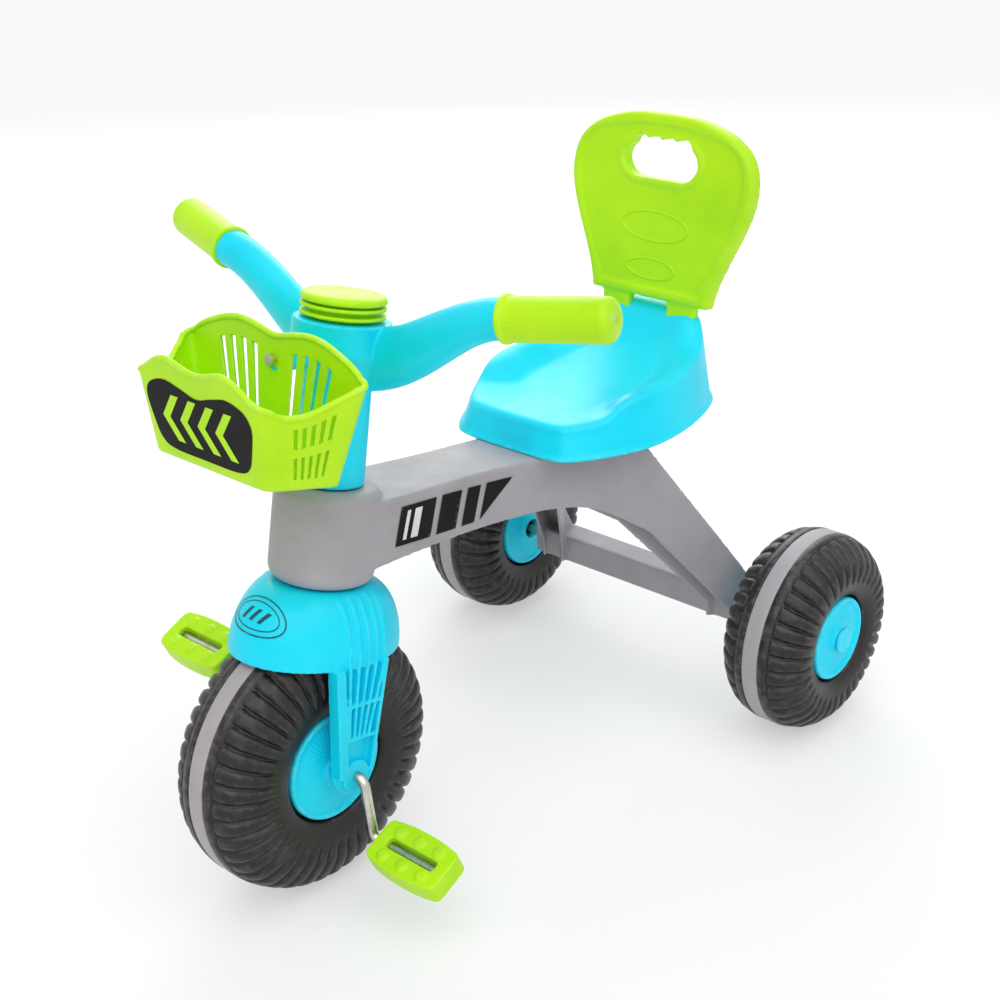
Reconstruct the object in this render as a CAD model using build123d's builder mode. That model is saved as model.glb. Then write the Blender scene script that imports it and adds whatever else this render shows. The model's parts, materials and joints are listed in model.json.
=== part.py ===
"""Children's pedal tricycle in moulded plastic, as separate pieces at their real size.

Millimetres. +X is forward, +Y is the rider's left, +Z is up. The origin is on the floor,
below the middle of the tricycle's box.
"""
import os
from math import cos, radians, sin

from build123d import *

os.makedirs("parts", exist_ok=True)

# Wheels and where they stand
front_radius = 110.0
rear_radius = 91.0
wheelbase = 441.0
rear_track_half = 182.0
front_axle_x = (wheelbase + rear_radius - front_radius) / 2
rear_axle_x = front_axle_x - wheelbase

# Tyre section
tyre_half_width = 40.0
tyre_wall = 3.0
tyre_foot = 3.0
sidewall_share = 0.42
shoulder_share = 0.955
shoulder_y = 25.0
band_half_width = 8.0
band_depth = 2.6

# Hub discs
front_hub_radius = 46.0
rear_hub_radius = 39.0
hub_recess = 9.0
hub_face = tyre_half_width - hub_recess
hub_sleeve_radius = 13.0
hub_boss_radius = 12.0
hub_boss_height = 9.0
hub_rim_height = 5.0
hub_cone_height = 3.0

# Steel rods and what runs on them
rod_radius = 4.0
running_gap = 0.1
nut_radius = 8.0
nut_thickness = 1.2
cap_pocket_radius = 10.0
cap_thickness = 2.5
bush_radius = 8.0
bush_flange_radius = 12.0
bush_flange = 2.0

# Crank and pedals
crank_throw = 51.0
crank_arm_in = 66.0
crank_arm_out = 73.0
crank_bend = 8.0
pedal_in = 81.0
pedal_out = 153.0
pedal_depth_half = 17.0
pedal_bulge = 4.0
pedal_thickness = 18.0
pedal_tilt = 24.0
pedal_slot_width = 9.0
pedal_slot_margin = 11.0
pedal_end_wall = 5.0
pedal_boss_row = 11.0
pedal_boss_pitch = 20.0
pedal_boss_radius = 4.5
pedal_boss_height = 1.6

# Steering: the axis leans back through the front axle, heights are along it from the axle
rake = 12.0
head_bottom = 145.0
head_top = 220.0
head_radius = 38.0
column_radius = 20.0
column_bore = 15.0
column_top = 330.0
column_gap = 0.3

# Fork: mudguard dome and two legs
guard_lip = 90.0
guard_top = head_bottom - 1.0
guard_length_half = 76.0
guard_width_half = 57.0
guard_neck = 34.0
guard_wall = 3.0
guard_roof = 134.0
leg_inner = 47.0
leg_wall = 5.0
leg_rib_height = 4.0
leg_rib_width = 2.6
leg_rib_pitch = 10.5
leg_top_half = 28.0
leg_end_radius = 17.0

# Handlebar
stem_radius = 27.0
stem_flare = 300.0
collar_radius = 37.0
collar_foot = 322.0
collar_top = 345.0
grip_start = Vector(front_axle_x - 90.0, 143.0, 471.0)
grip_end = Vector(front_axle_x - 112.0, 227.0, 481.0)
grip_radius = 16.0
grip_flange_radius = 18.0
grip_dome = 8.0
grip_flange = 5.0
bar_end_radius = 11.0
bar_end_length = 62.0

# Horn on the collar: a bellows under a press button
horn_radius = 32.0
horn_neck = 24.0
horn_fin = 2.6
horn_pitch = 6.0
horn_base = collar_top
horn_button_bottom = 358.0
horn_button_top = 366.0

# Basket, in the steering frame
basket_floor = 246.0
basket_back = 59.0
basket_front = 114.0
basket_rim_back = 65.0
basket_rim_front = 143.0
basket_back_half = 72.0
basket_front_half = 60.0
basket_rim_back_half = 97.0
basket_rim_front_half = 68.0
basket_top = 345.0
basket_wall = 2.4
basket_corner = 9.0
basket_slit = 3.4
basket_screw_height = 319.0
bracket_radius = 9.0
screw_radius = 2.0
screw_head_radius = 4.5
screw_head = 2.5
screw_grip = 18.0
stem_screw_height = 250.0
screw_back = basket_back + (basket_rim_back - basket_back) * (basket_screw_height - basket_floor) / 99.0

# Frame
frame_wall = 3.5
beam_half_width = 35.0
housing_half = 14.0
housing_end = 128.0
leg_spread = 126.0
seat_rest = 285.0
hollow_start = 38.0
beam_slope = (313.0 - seat_rest) / (246.0 - 62.0)

# Seat and backrest
seat_bottom = 285.0
seat_height = 31.0
seat_wall = 3.0
dish_depth = 19.0
dish_radius = 80.0
dish_x = front_axle_x - 350.0
seat_round = 9.0
seat_boss_x = (-266.0, -300.0)
seat_boss_radius = 7.0
socket_half = 18.0
socket_depth = 15.0
socket_length = 40.0
socket_mid = -62.0
tab_floor = 3.0
back_lean = 8.4
back_foot = (front_axle_x - 439.0, 0.0, 367.0)
back_height = 163.0
back_thickness = 15.0
back_round = 5.0
back_rim = 9.0
back_dish = 2.0
back_ovals = ((66.0, 34.0, 14.0), (28.0, 22.0, 9.0))
oval_depth = 1.2
hole_height = 122.0
hole_width = 68.0
hole_tall = 32.0
hole_lip = 5.0
scallop_pitch = 13.0
scallop_radius = 8.0
tab_half_width = 15.0
tab_thickness = 9.0
tab_offset = 36.0
tab_length = 58.0

# The steering frame: x forward, y left, z up along the raked axis, origin on the axle
steer = Plane(
    origin=(front_axle_x, 0, front_radius),
    x_dir=(cos(radians(rake)), 0, sin(radians(rake))),
    z_dir=(-sin(radians(rake)), 0, cos(radians(rake))),
)
# Side view in the steering frame: x forward, y up along the axis, facing the rider's right
steer_side = Plane(origin=steer.origin, x_dir=steer.x_dir, z_dir=(0, -1, 0))
steer_axis = Axis(steer.origin, steer.z_dir)
# Front view in the steering frame: x to the left, y up along the axis, facing forward
steer_front = Plane(origin=steer.origin, x_dir=(0, 1, 0), z_dir=steer.x_dir)
side_view = Plane(origin=(front_axle_x, 0, 0), x_dir=(1, 0, 0), z_dir=(0, -1, 0))
plan_view = Plane(origin=(front_axle_x, 0, 0), x_dir=(1, 0, 0), z_dir=(0, 0, 1))
# Face of the backrest: x to the left, y up the back, facing the rider
back_plane = Plane(
    origin=back_foot, x_dir=(0, 1, 0), z_dir=(cos(radians(back_lean)), 0, sin(radians(back_lean)))
)


def save(piece, name):
    """Label a finished piece and write it to its own file."""
    piece.label = name
    export_step(piece, f"parts/{name}.step")


def wheel_plane(x, y, radius):
    """Section plane of a wheel: local x runs outwards from the axle, local y along it."""
    return Plane(origin=(x, y, radius), x_dir=(1, 0, 0), z_dir=(0, 0, 1))


def wheel_axis(x, radius):
    """Axle line of a wheel."""
    return Axis((x, 0, radius), (0, 1, 0))


def tyre_section(plane, radius, hub_radius, inset):
    """A tyre's whole section on a plane, drawn in from its outer skin by an inset."""
    face = hub_face - inset
    side = tyre_half_width - inset
    crown = radius - band_depth - inset
    foot = hub_radius + tyre_foot + inset / 2
    with BuildSketch(plane) as section:
        with BuildLine():
            Polyline(
                (crown, 0),
                (hub_sleeve_radius + inset, 0),
                (hub_sleeve_radius + inset, face),
                (foot - tyre_foot, face),
                (foot, side - tyre_foot),
            )
            Spline(
                (foot, side - tyre_foot),
                (hub_radius + sidewall_share * (radius - hub_radius), side),
                (radius * shoulder_share - inset, shoulder_y - inset / 2),
                (crown + band_depth, band_half_width),
                tangents=[(0.6, 0.8), (0.2, -1)],
            )
            Polyline((crown + band_depth, band_half_width), (crown, band_half_width), (crown, 0))
        make_face()
        mirror(about=Plane.XZ)
    return section.sketch


wheels = {
    "front": (front_axle_x, 0.0, front_radius, front_hub_radius),
    "rear_left": (rear_axle_x, rear_track_half, rear_radius, rear_hub_radius),
    "rear_right": (rear_axle_x, -rear_track_half, rear_radius, rear_hub_radius),
}

# Tyres: hollow blow-moulded rings, with a recess for the hub discs and a groove for the band
for wheel, (axle_x, mid_y, radius, hub_radius) in wheels.items():
    with BuildPart() as tyre:
        section_plane = wheel_plane(axle_x, mid_y, radius)
        revolve(tyre_section(section_plane, radius, hub_radius, 0), axis=wheel_axis(axle_x, radius))
        hollow = tyre_section(section_plane, radius, hub_radius, tyre_wall)
        revolve(hollow, axis=wheel_axis(axle_x, radius), mode=Mode.SUBTRACT)
    save(tyre.part, f"{wheel}_tyre")
    with BuildPart() as band:
        with BuildSketch(wheel_plane(axle_x, mid_y, radius)):
            with Locations((radius - band_depth / 2, 0)):
                Rectangle(band_depth, 2 * band_half_width)
        revolve(axis=wheel_axis(axle_x, radius))
    save(band.part, f"{wheel}_band")

# Hub discs: a rim bead, a shallow cone and a boss, with a sleeve to the middle of the tyre
for wheel, (axle_x, mid_y, radius, hub_radius) in wheels.items():
    bore = rod_radius if wheel == "front" else rod_radius + running_gap
    for face, side in (("left", 1), ("right", -1)):
        with BuildPart() as hub:
            with BuildSketch(wheel_plane(axle_x, mid_y, radius)):
                with BuildLine():
                    Polyline(
                        (bore, 0),
                        (hub_sleeve_radius, 0),
                        (hub_sleeve_radius, side * hub_face),
                        (hub_radius - 0.5, side * hub_face),
                        (hub_radius - 0.5, side * (hub_face + hub_cone_height)),
                        (hub_radius - 4, side * (hub_face + hub_rim_height)),
                        (hub_radius - 8, side * (hub_face + hub_cone_height)),
                        (hub_boss_radius + 4, side * (hub_face + hub_rim_height)),
                        (hub_boss_radius + 1, side * (hub_face + hub_boss_height)),
                        (bore, side * (hub_face + hub_boss_height)),
                        close=True,
                    )
                make_face()
            revolve(axis=wheel_axis(axle_x, radius))
            if wheel != "front" and side * mid_y > 0:
                pocket_floor = side * (hub_face + hub_cone_height)
                with BuildSketch(wheel_plane(axle_x, mid_y, radius)):
                    with BuildLine():
                        Polyline(
                            (bore, pocket_floor),
                            (cap_pocket_radius, pocket_floor),
                            (cap_pocket_radius, side * (hub_face + hub_boss_height)),
                            (bore, side * (hub_face + hub_boss_height)),
                            close=True,
                        )
                    make_face()
                revolve(axis=wheel_axis(axle_x, radius), mode=Mode.SUBTRACT)
        save(hub.part, f"{wheel}_hub_{face}")

# Rear hub caps: small discs that close the pocket over the push nut
for wheel, side in (("rear_left", 1), ("rear_right", -1)):
    cap_outer = side * (rear_track_half + hub_face + hub_boss_height)
    with BuildPart() as cap:
        with BuildSketch(Plane(origin=(rear_axle_x, cap_outer, rear_radius), x_dir=(1, 0, 0), z_dir=(0, -side, 0))):
            Circle(cap_pocket_radius)
        extrude(amount=cap_thickness)
        with BuildSketch(Plane(origin=(rear_axle_x, cap_outer, rear_radius), x_dir=(1, 0, 0), z_dir=(0, side, 0))):
            Circle(hub_boss_radius)
        extrude(amount=1.5, taper=30)
    save(cap.part, f"{wheel}_cap")

# Rear axle: a straight steel rod through the frame's housing, with a push nut at each end
axle_end = rear_track_half + hub_face + hub_cone_height + nut_thickness + 0.8
with BuildPart() as rear_axle:
    with Locations(Location((rear_axle_x, 0, rear_radius), (90, 0, 0))):
        Cylinder(rod_radius, 2 * axle_end)
save(rear_axle.part, "rear_axle")

nut_mid = rear_track_half + hub_face + hub_cone_height + 0.3 + nut_thickness / 2
with BuildPart() as rear_push_nuts:
    with Locations(*[Location((rear_axle_x, s * nut_mid, rear_radius), (90, 0, 0)) for s in (1, -1)]):
        Cylinder(nut_radius, nut_thickness)
        Cylinder(rod_radius, nut_thickness, mode=Mode.SUBTRACT)
save(rear_push_nuts.part, "rear_push_nuts")

# Crank: one bent steel rod through the front wheel, with a pedal pin at each end
pin_end = pedal_out - pedal_end_wall - 1.0
crank_line = [
    (front_axle_x, pin_end, front_radius - crank_throw),
    (front_axle_x, crank_arm_out, front_radius - crank_throw),
    (front_axle_x, crank_arm_in, front_radius),
    (front_axle_x, -crank_arm_in, front_radius),
    (front_axle_x, -crank_arm_out, front_radius + crank_throw),
    (front_axle_x, -pin_end, front_radius + crank_throw),
]
with BuildPart() as crank:
    with BuildLine() as rod_path:
        FilletPolyline(*crank_line, radius=crank_bend)
    with BuildSketch(Plane(origin=crank_line[0], z_dir=(0, -1, 0))):
        Circle(rod_radius)
    sweep(path=rod_path.line)
save(crank.part, "crank")

# Crank bushes: flanged sleeves in the feet of the fork legs
for name, side in (("left_crank_bush", 1), ("right_crank_bush", -1)):
    bush_plane = Plane(
        origin=(front_axle_x, side * (leg_inner - bush_flange), front_radius), x_dir=(1, 0, 0), z_dir=(0, side, 0)
    )
    with BuildPart() as bush:
        with BuildSketch(bush_plane):
            Circle(bush_flange_radius)
        extrude(amount=bush_flange)
        with BuildSketch(bush_plane):
            Circle(bush_radius)
        extrude(amount=bush_flange + leg_wall + leg_rib_height + 1)
        with BuildSketch(bush_plane):
            Circle(rod_radius + running_gap)
        extrude(amount=bush_flange + leg_wall + leg_rib_height + 1, mode=Mode.SUBTRACT)
    save(bush.part, name)

# Pedals: blocks with bulged sides, round grip bosses and a slot that shows the pin
for name, side in (("left_pedal", 1), ("right_pedal", -1)):
    pin_z = front_radius - side * crank_throw
    half_length = (pedal_out - pedal_in) / 2
    pedal_plane = Plane(
        origin=(front_axle_x, side * (pedal_in + half_length), pin_z),
        x_dir=(cos(radians(pedal_tilt)), 0, -sin(radians(pedal_tilt))),
        z_dir=(sin(radians(pedal_tilt)), 0, cos(radians(pedal_tilt))),
    )
    with BuildPart() as pedal:
        with BuildSketch(pedal_plane.offset(-pedal_thickness / 2)):
            with BuildLine():
                corner = (pedal_depth_half, half_length)
                bulge = pedal_depth_half + pedal_bulge
                ThreePointArc((-corner[0], -corner[1]), (-bulge, 0), (-corner[0], corner[1]))
                Line((-corner[0], corner[1]), corner)
                ThreePointArc(corner, (bulge, 0), (corner[0], -corner[1]))
                Line((corner[0], -corner[1]), (-corner[0], -corner[1]))
            make_face()
            fillet(vertices(), 6)
        extrude(amount=pedal_thickness)
        with BuildSketch(pedal_plane.offset(pedal_thickness / 2)):
            RectangleRounded(pedal_slot_width, 2 * (half_length - pedal_slot_margin), 3)
        extrude(amount=-pedal_thickness, mode=Mode.SUBTRACT)
        with BuildSketch(pedal_plane.offset(pedal_thickness / 2)):
            for row in (-1, 1):
                with Locations(*[(row * pedal_boss_row, step * pedal_boss_pitch) for step in (-1, 0, 1)]):
                    Circle(pedal_boss_radius)
        extrude(amount=pedal_boss_height)
        with BuildSketch(Plane(origin=(front_axle_x, side * pedal_in, pin_z), z_dir=(0, side, 0))):
            Circle(rod_radius + running_gap)
        extrude(amount=2 * half_length - pedal_end_wall, mode=Mode.SUBTRACT)
    save(pedal.part, name)

# Fork: a domed mudguard on two ribbed legs, with the column that turns in the head
dome_steps = (0.0, 0.4, 0.65, 0.83, 0.94, 1.0)


def dome(lip, top, length_half, width_half, neck):
    """Sections of a bell from its lip up to a round neck, as a quarter of a squared-off oval."""
    sections = []
    for step in dome_steps:
        swell = (1 - step**2.4) ** (1 / 2.4)
        with BuildSketch(steer.offset(lip + step * (top - lip))) as ring:
            Ellipse(neck + swell * (length_half - neck), neck + swell * (width_half - neck))
        sections.append(ring.sketch)
    return sections


with BuildPart() as fork:
    loft(dome(guard_lip, guard_top, guard_length_half, guard_width_half, guard_neck))
    inner_length = guard_length_half - guard_wall
    inner_width = guard_width_half - guard_wall
    loft(dome(guard_lip, guard_roof, inner_length, inner_width, column_radius), mode=Mode.SUBTRACT)
    for side in (1, -1):
        leg_plane = steer_side.offset(-side * leg_inner)
        with BuildSketch(leg_plane):
            Circle(leg_end_radius)
            with Locations((0, guard_lip)):
                Rectangle(2 * leg_top_half, 2 * leg_wall)
            make_hull()
        extrude(amount=-side * leg_wall)
        with BuildSketch(leg_plane):
            with Locations((0, guard_lip + leg_wall)):
                Rectangle(2 * leg_top_half, 2 * leg_wall)
        extrude(amount=-side * (guard_width_half - guard_wall - leg_inner + 1))
        with BuildSketch(leg_plane.offset(-side * leg_wall)):
            for rib in range(-2, 3):
                foot = 24.0 if abs(rib) < 2 else 48.0
                with Locations((rib * leg_rib_pitch, (foot + guard_lip) / 2)):
                    Rectangle(leg_rib_width, guard_lip - foot + 4)
            for height, half in ((30.0, 17.5), (58.0, 21.5)):
                with Locations((0, height)):
                    Rectangle(2 * half, leg_rib_width)
            Circle(bush_flange_radius)
        extrude(amount=-side * leg_rib_height)
    with BuildSketch(steer.offset(guard_roof)):
        Circle(column_radius)
    extrude(amount=column_top - guard_roof)
    with BuildSketch(steer.offset(guard_roof)):
        Circle(column_bore)
    extrude(amount=column_top - guard_roof, mode=Mode.SUBTRACT)
    with Locations(Location((front_axle_x, 0, front_radius), (90, 0, 0))):
        Cylinder(bush_radius, 2 * guard_width_half + 10, mode=Mode.SUBTRACT)
    with BuildSketch(steer_front.offset(-stem_radius - 2)):
        with Locations((0, stem_screw_height)):
            Circle(screw_radius)
    extrude(amount=stem_radius, mode=Mode.SUBTRACT)
save(fork.part, "fork")

# Handlebar: a flared stem over the column, two swept arms and a bracket for the basket
grip_axis = (grip_end - grip_start).normalized()
arm_sections = [
    (Vector(front_axle_x - 77, 20, 420), Vector(0, 1, 0.15), 15.0, 26.0),
    (Vector(front_axle_x - 82, 58, 431), Vector(-0.1, 1, 0.5), 14.0, 21.0),
    (Vector(front_axle_x - 87, 100, 455), Vector(-0.1, 1, 0.55), 14.5, 17.0),
    (grip_start, grip_axis, 15.0, 15.0),
]
with BuildPart() as handlebar:
    for middle, heading, depth_half, height_half in arm_sections:
        with BuildSketch(Plane(origin=middle, x_dir=heading.cross(Vector(0, 0, 1)), z_dir=heading)):
            Ellipse(depth_half, height_half)
    loft()
    with BuildSketch(Plane(origin=grip_start, z_dir=grip_axis)):
        Circle(bar_end_radius)
    extrude(amount=bar_end_length)
    mirror(about=Plane.XZ)
    with BuildSketch(steer_side):
        with BuildLine():
            Polyline(
                (0, head_top + 1),
                (stem_radius, head_top + 1),
                (stem_radius - 1, stem_flare),
                (collar_radius, collar_foot),
                (collar_radius, collar_top),
                (0, collar_top),
                close=True,
            )
        make_face()
    revolve(axis=steer_axis)
    with BuildSketch(steer_front.offset(stem_radius - 4)):
        with Locations((0, basket_screw_height)):
            Circle(bracket_radius)
    extrude(amount=screw_back - 0.3 - stem_radius + 4)
    with BuildSketch(steer_front.offset(screw_back - screw_grip)):
        with Locations((0, basket_screw_height)):
            Circle(screw_radius)
    extrude(amount=screw_grip, mode=Mode.SUBTRACT)
    with BuildSketch(steer.offset(head_top + 1)):
        Circle(column_radius)
    extrude(amount=column_top - head_top - 1, mode=Mode.SUBTRACT)
    with BuildSketch(steer.offset(column_top)):
        Circle(column_bore)
    extrude(amount=collar_top - column_top, mode=Mode.SUBTRACT)
    with BuildSketch(steer_front.offset(-stem_radius - 2)):
        with Locations((0, stem_screw_height)):
            Circle(screw_radius)
    extrude(amount=stem_radius, mode=Mode.SUBTRACT)
save(handlebar.part, "handlebar")

# Grips: sleeves with a flange at the inner end and a domed outer end
for name, side in (("left_grip", 1), ("right_grip", -1)):
    inner = Vector(grip_start.X, side * grip_start.Y, grip_start.Z)
    heading = Vector(grip_axis.X, side * grip_axis.Y, grip_axis.Z)
    grip_length = (grip_end - grip_start).length
    with BuildPart() as grip:
        with BuildSketch(Plane(origin=inner, z_dir=heading)):
            Circle(grip_radius)
        extrude(amount=grip_length)
        fillet(edges().sort_by(Axis(inner, heading))[-1], grip_dome)
        with BuildSketch(Plane(origin=inner, z_dir=heading)):
            Circle(grip_flange_radius)
        extrude(amount=grip_flange)
        with BuildSketch(Plane(origin=inner, z_dir=heading)):
            Circle(bar_end_radius)
        extrude(amount=bar_end_length, mode=Mode.SUBTRACT)
    save(grip.part, name)

# Horn: a bellows with fins on a neck, a reed under it and a press button on top
with BuildPart() as horn_bellows:
    with BuildSketch(steer.offset(horn_base)):
        Circle(horn_neck)
    extrude(amount=horn_button_bottom - horn_base)
    for fin in range(2):
        with BuildSketch(steer.offset(horn_base + 2.5 + fin * horn_pitch)):
            Circle(horn_radius)
        extrude(amount=horn_fin)
    with BuildSketch(steer.offset(horn_base)):
        Circle(horn_neck - horn_fin)
    extrude(amount=horn_button_bottom - horn_base, mode=Mode.SUBTRACT)
save(horn_bellows.part, "horn_bellows")

with BuildPart() as horn_button:
    with BuildSketch(steer_side):
        with BuildLine():
            Polyline(
                (0, horn_button_bottom),
                (horn_radius - 1, horn_button_bottom),
                (horn_radius, horn_button_bottom + 1),
                (horn_radius, horn_button_bottom + 3),
            )
            Spline(
                (horn_radius, horn_button_bottom + 3),
                (horn_radius * 0.8, horn_button_top - 1.5),
                (0, horn_button_top),
                tangents=[(-0.3, 1), (-1, 0)],
            )
            Line((0, horn_button_top), (0, horn_button_bottom))
        make_face()
    revolve(axis=steer_axis)
save(horn_button.part, "horn_button")

with BuildPart() as horn_squeaker:
    with BuildSketch(steer.offset(column_top)):
        Circle(column_bore)
    extrude(amount=collar_top - column_top - 3)
    with BuildSketch(steer.offset(column_top)):
        Circle(column_bore / 3)
    extrude(amount=collar_top - column_top - 3, mode=Mode.SUBTRACT)
save(horn_squeaker.part, "horn_squeaker")

# Basket: a tapered tub with a waved rim and vertical slits in its back and sides
wave_back = [(-100, 320), (-72, 335), (-38, 343), (0, 336.5), (38, 343), (72, 335), (100, 320)]
wave_front = [(-76, 299), (-60, 306), (-33, 321), (0, 312), (33, 321), (60, 306), (76, 299)]
wave_side = [(56, 342), (72, 338), (90, 312), (108, 299), (122, 303), (134, 318), (150, 330)]


def tub(inset):
    """Sections of the basket's tub, from its floor to its rim, drawn in by an inset."""
    sections = []
    levels = (
        (basket_floor + inset, basket_back, basket_front, basket_back_half, basket_front_half),
        (basket_top + inset, basket_rim_back, basket_rim_front, basket_rim_back_half, basket_rim_front_half),
    )
    for height, back, front, back_half, front_half in levels:
        with BuildSketch(steer.offset(height)) as level:
            Polygon(
                (back + inset, inset - back_half),
                (front - inset, inset - front_half),
                (front - inset, front_half - inset),
                (back + inset, back_half - inset),
                align=None,
            )
            fillet(level.vertices(), basket_corner - inset)
        sections.append(level.sketch)
    return sections


with BuildPart() as basket:
    loft(tub(0))
    loft(tub(basket_wall), mode=Mode.SUBTRACT)
    for view, wave, start, depth in (
        (steer_front, wave_back, basket_back - 9, 30),
        (steer_front, wave_front, basket_front + 5, 40),
        (steer_side, wave_side, -120, 240),
    ):
        with BuildSketch(view.offset(start)):
            with BuildLine():
                Spline(*wave)
                Polyline(wave[-1], (wave[-1][0], basket_top + 30), (wave[0][0], basket_top + 30), wave[0])
            make_face()
        extrude(amount=depth, mode=Mode.SUBTRACT)
    with BuildSketch(steer_front.offset(basket_back - 5)):
        for column in (22, 35, 48, 61):
            with Locations((column, 300), (-column, 300)):
                Rectangle(basket_slit, 50)
    extrude(amount=18, mode=Mode.SUBTRACT)
    with BuildSketch(steer_side.offset(-120)):
        for column in (76, 84, 92, 100, 108):
            with Locations((column, 263)):
                Rectangle(basket_slit, 18)
            with Locations((column, 286)):
                Rectangle(basket_slit, 14)
    extrude(amount=240, mode=Mode.SUBTRACT)
    with BuildSketch(steer_front.offset(basket_back - 5)):
        with Locations((0, basket_screw_height)):
            Circle(screw_radius)
    extrude(amount=18, mode=Mode.SUBTRACT)
save(basket.part, "basket")

# Frame: a hollow beam that splits into two legs, with the steering head and the axle housing
beam_top = [(-62, 313), (-246, seat_rest), (-318, seat_rest)]
leg_back = [(-362, 252), (-430, 146), (-455, 108)]
arch = [(-369, 143), (-344, 194), (-312, 215.5), (-277, 229), (-211, 241), (-139, 251)]
head_corner = (-40, 262)
leg_outer = [(-40, 33), (-200, 34), (-262, 38), (-330, 60), (-430, 118), (-458, leg_spread)]
leg_inner_edge = [(-458, 98), (-430, 92), (-352, 34)]
crotch = (-318, 0)


def frame_side(inset):
    """Side outline of beam and legs; an inset lowers the top and leaves the underside open."""
    drop = 25 if inset else 0
    nose = -hollow_start if inset else 0
    with BuildSketch(side_view) as outline:
        with BuildLine():
            start = (beam_top[0][0] + nose, beam_top[0][1] - inset + nose * beam_slope)
            rest = [(x, z - inset) for x, z in beam_top[1:]]
            Polyline(start, *rest)
            back = [(x + inset, z - inset) for x, z in leg_back]
            Spline(rest[-1], *back)
            foot = (back[-1][0], rear_radius - housing_half - drop)
            instep = (foot[0] + 2 * housing_half + 22, foot[1])
            under = [(x + drop / 2, z - drop) for x, z in arch]
            Polyline(back[-1], foot, instep, under[0])
            chin = (head_corner[0] + nose, head_corner[1] - drop)
            Spline(*under, chin)
            Line(chin, start)
        make_face()
    return outline.sketch


def frame_plan(inset):
    """Plan outline of beam and legs, which part at the crotch."""
    nose = -hollow_start if inset else 0
    outer = [(leg_outer[0][0] + nose, leg_outer[0][1] - inset)] + [(x, y - inset) for x, y in leg_outer[1:]]
    inner = [(x, y + inset) for x, y in leg_inner_edge]
    split = (crotch[0] + 2 * inset, 0)
    with BuildSketch(plan_view) as outline:
        with BuildLine():
            Line((outer[0][0], 0), outer[0])
            Spline(*outer)
            Polyline(outer[-1], *inner, split, (outer[0][0], 0))
        make_face()
        mirror(about=Plane.XZ)
    return outline.sketch


with BuildPart() as frame_hollow:
    extrude(frame_side(frame_wall), amount=leg_spread + 5, both=True)
    extrude(frame_plan(frame_wall), amount=400, mode=Mode.INTERSECT)

with BuildPart() as main_frame:
    extrude(frame_side(0), amount=leg_spread + 5, both=True)
    extrude(frame_plan(0), amount=400, mode=Mode.INTERSECT)
    add(frame_hollow.part, mode=Mode.SUBTRACT)
    with BuildSketch(steer.offset(head_bottom)):
        Circle(head_radius)
    extrude(amount=head_top - head_bottom)
    with Locations((rear_axle_x, 0, rear_radius)):
        Box(2 * housing_half, 2 * housing_end, 2 * housing_half)
    with BuildSketch(steer.offset(head_bottom - 30)):
        Circle(column_radius + column_gap)
    extrude(amount=head_top - head_bottom + 60, mode=Mode.SUBTRACT)
    with Locations(Location((rear_axle_x, 0, rear_radius), (90, 0, 0))):
        Cylinder(rod_radius, 2 * housing_end, mode=Mode.SUBTRACT)
    with BuildSketch(plan_view.offset(seat_rest - 2 * frame_wall)):
        with Locations(*[(x, 0) for x in seat_boss_x]):
            Circle(screw_radius)
    extrude(amount=3 * frame_wall, mode=Mode.SUBTRACT)
save(main_frame.part, "main_frame")

# Seat: a dished shell with a deep skirt, and a raised back with sockets for the backrest
seat_side = [(-247, 38), (-259, 69), (-288, 91), (-336, 96), (-396, 84), (-444, 62), (-467, 32)]
seat_nose = -246.0
seat_tail = -473.0


def seat_plan(height, inset):
    """Plan outline of the seat at a height, drawn in by an inset."""
    middle = (seat_nose + seat_tail) / 2
    reach = (seat_nose - seat_tail) / 2
    shrink = 1 - inset / reach
    left = [(middle + (x - middle) * shrink, y - inset) for x, y in seat_side]
    right = [(x, -y) for x, y in reversed(left)]
    with BuildSketch(plan_view.offset(height)) as outline:
        with BuildLine():
            Spline((seat_nose - inset, 0), *left, (seat_tail + inset, 0), *right, periodic=True)
        make_face()
    return outline.sketch


with BuildPart() as seat:
    extrude(seat_plan(seat_bottom, 0), amount=seat_height)
    rim = faces().sort_by(Axis.Z)[-1]
    fillet(rim.edges(), seat_round)
    with BuildSketch(Plane(origin=(dish_x, 0, seat_bottom + seat_height), x_dir=(1, 0, 0), z_dir=(0, -1, 0))):
        with BuildLine():
            ThreePointArc((0, -dish_depth), (dish_radius / 2, -0.75 * dish_depth), (dish_radius, 0))
            Polyline((dish_radius, 0), (0, 0), (0, -dish_depth))
        make_face()
    revolve(axis=Axis((dish_x, 0, 0), (0, 0, 1)), mode=Mode.SUBTRACT)
    extrude(seat_plan(seat_bottom, seat_wall), amount=seat_height - dish_depth - seat_wall, mode=Mode.SUBTRACT)
    for side in (1, -1):
        with BuildSketch(back_plane.offset(-back_thickness / 2)):
            with Locations((side * tab_offset, socket_mid)):
                Rectangle(2 * socket_half, socket_length)
        extrude(amount=socket_depth / 2, both=True)
        with BuildSketch(back_plane.offset(-back_thickness / 2)):
            with Locations((side * tab_offset, socket_mid + tab_floor)):
                Rectangle(2 * tab_half_width, socket_length)
        extrude(amount=tab_thickness / 2, both=True, mode=Mode.SUBTRACT)
    for boss_x in seat_boss_x:
        with BuildSketch(plan_view.offset(seat_bottom)):
            with Locations((boss_x, 0)):
                Circle(seat_boss_radius)
        extrude(amount=seat_height - dish_depth - seat_wall)
        with BuildSketch(plan_view.offset(seat_bottom)):
            with Locations((boss_x, 0)):
                Circle(screw_radius)
        extrude(amount=seat_height - dish_depth - seat_wall, mode=Mode.SUBTRACT)
save(seat.part, "seat")

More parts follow.
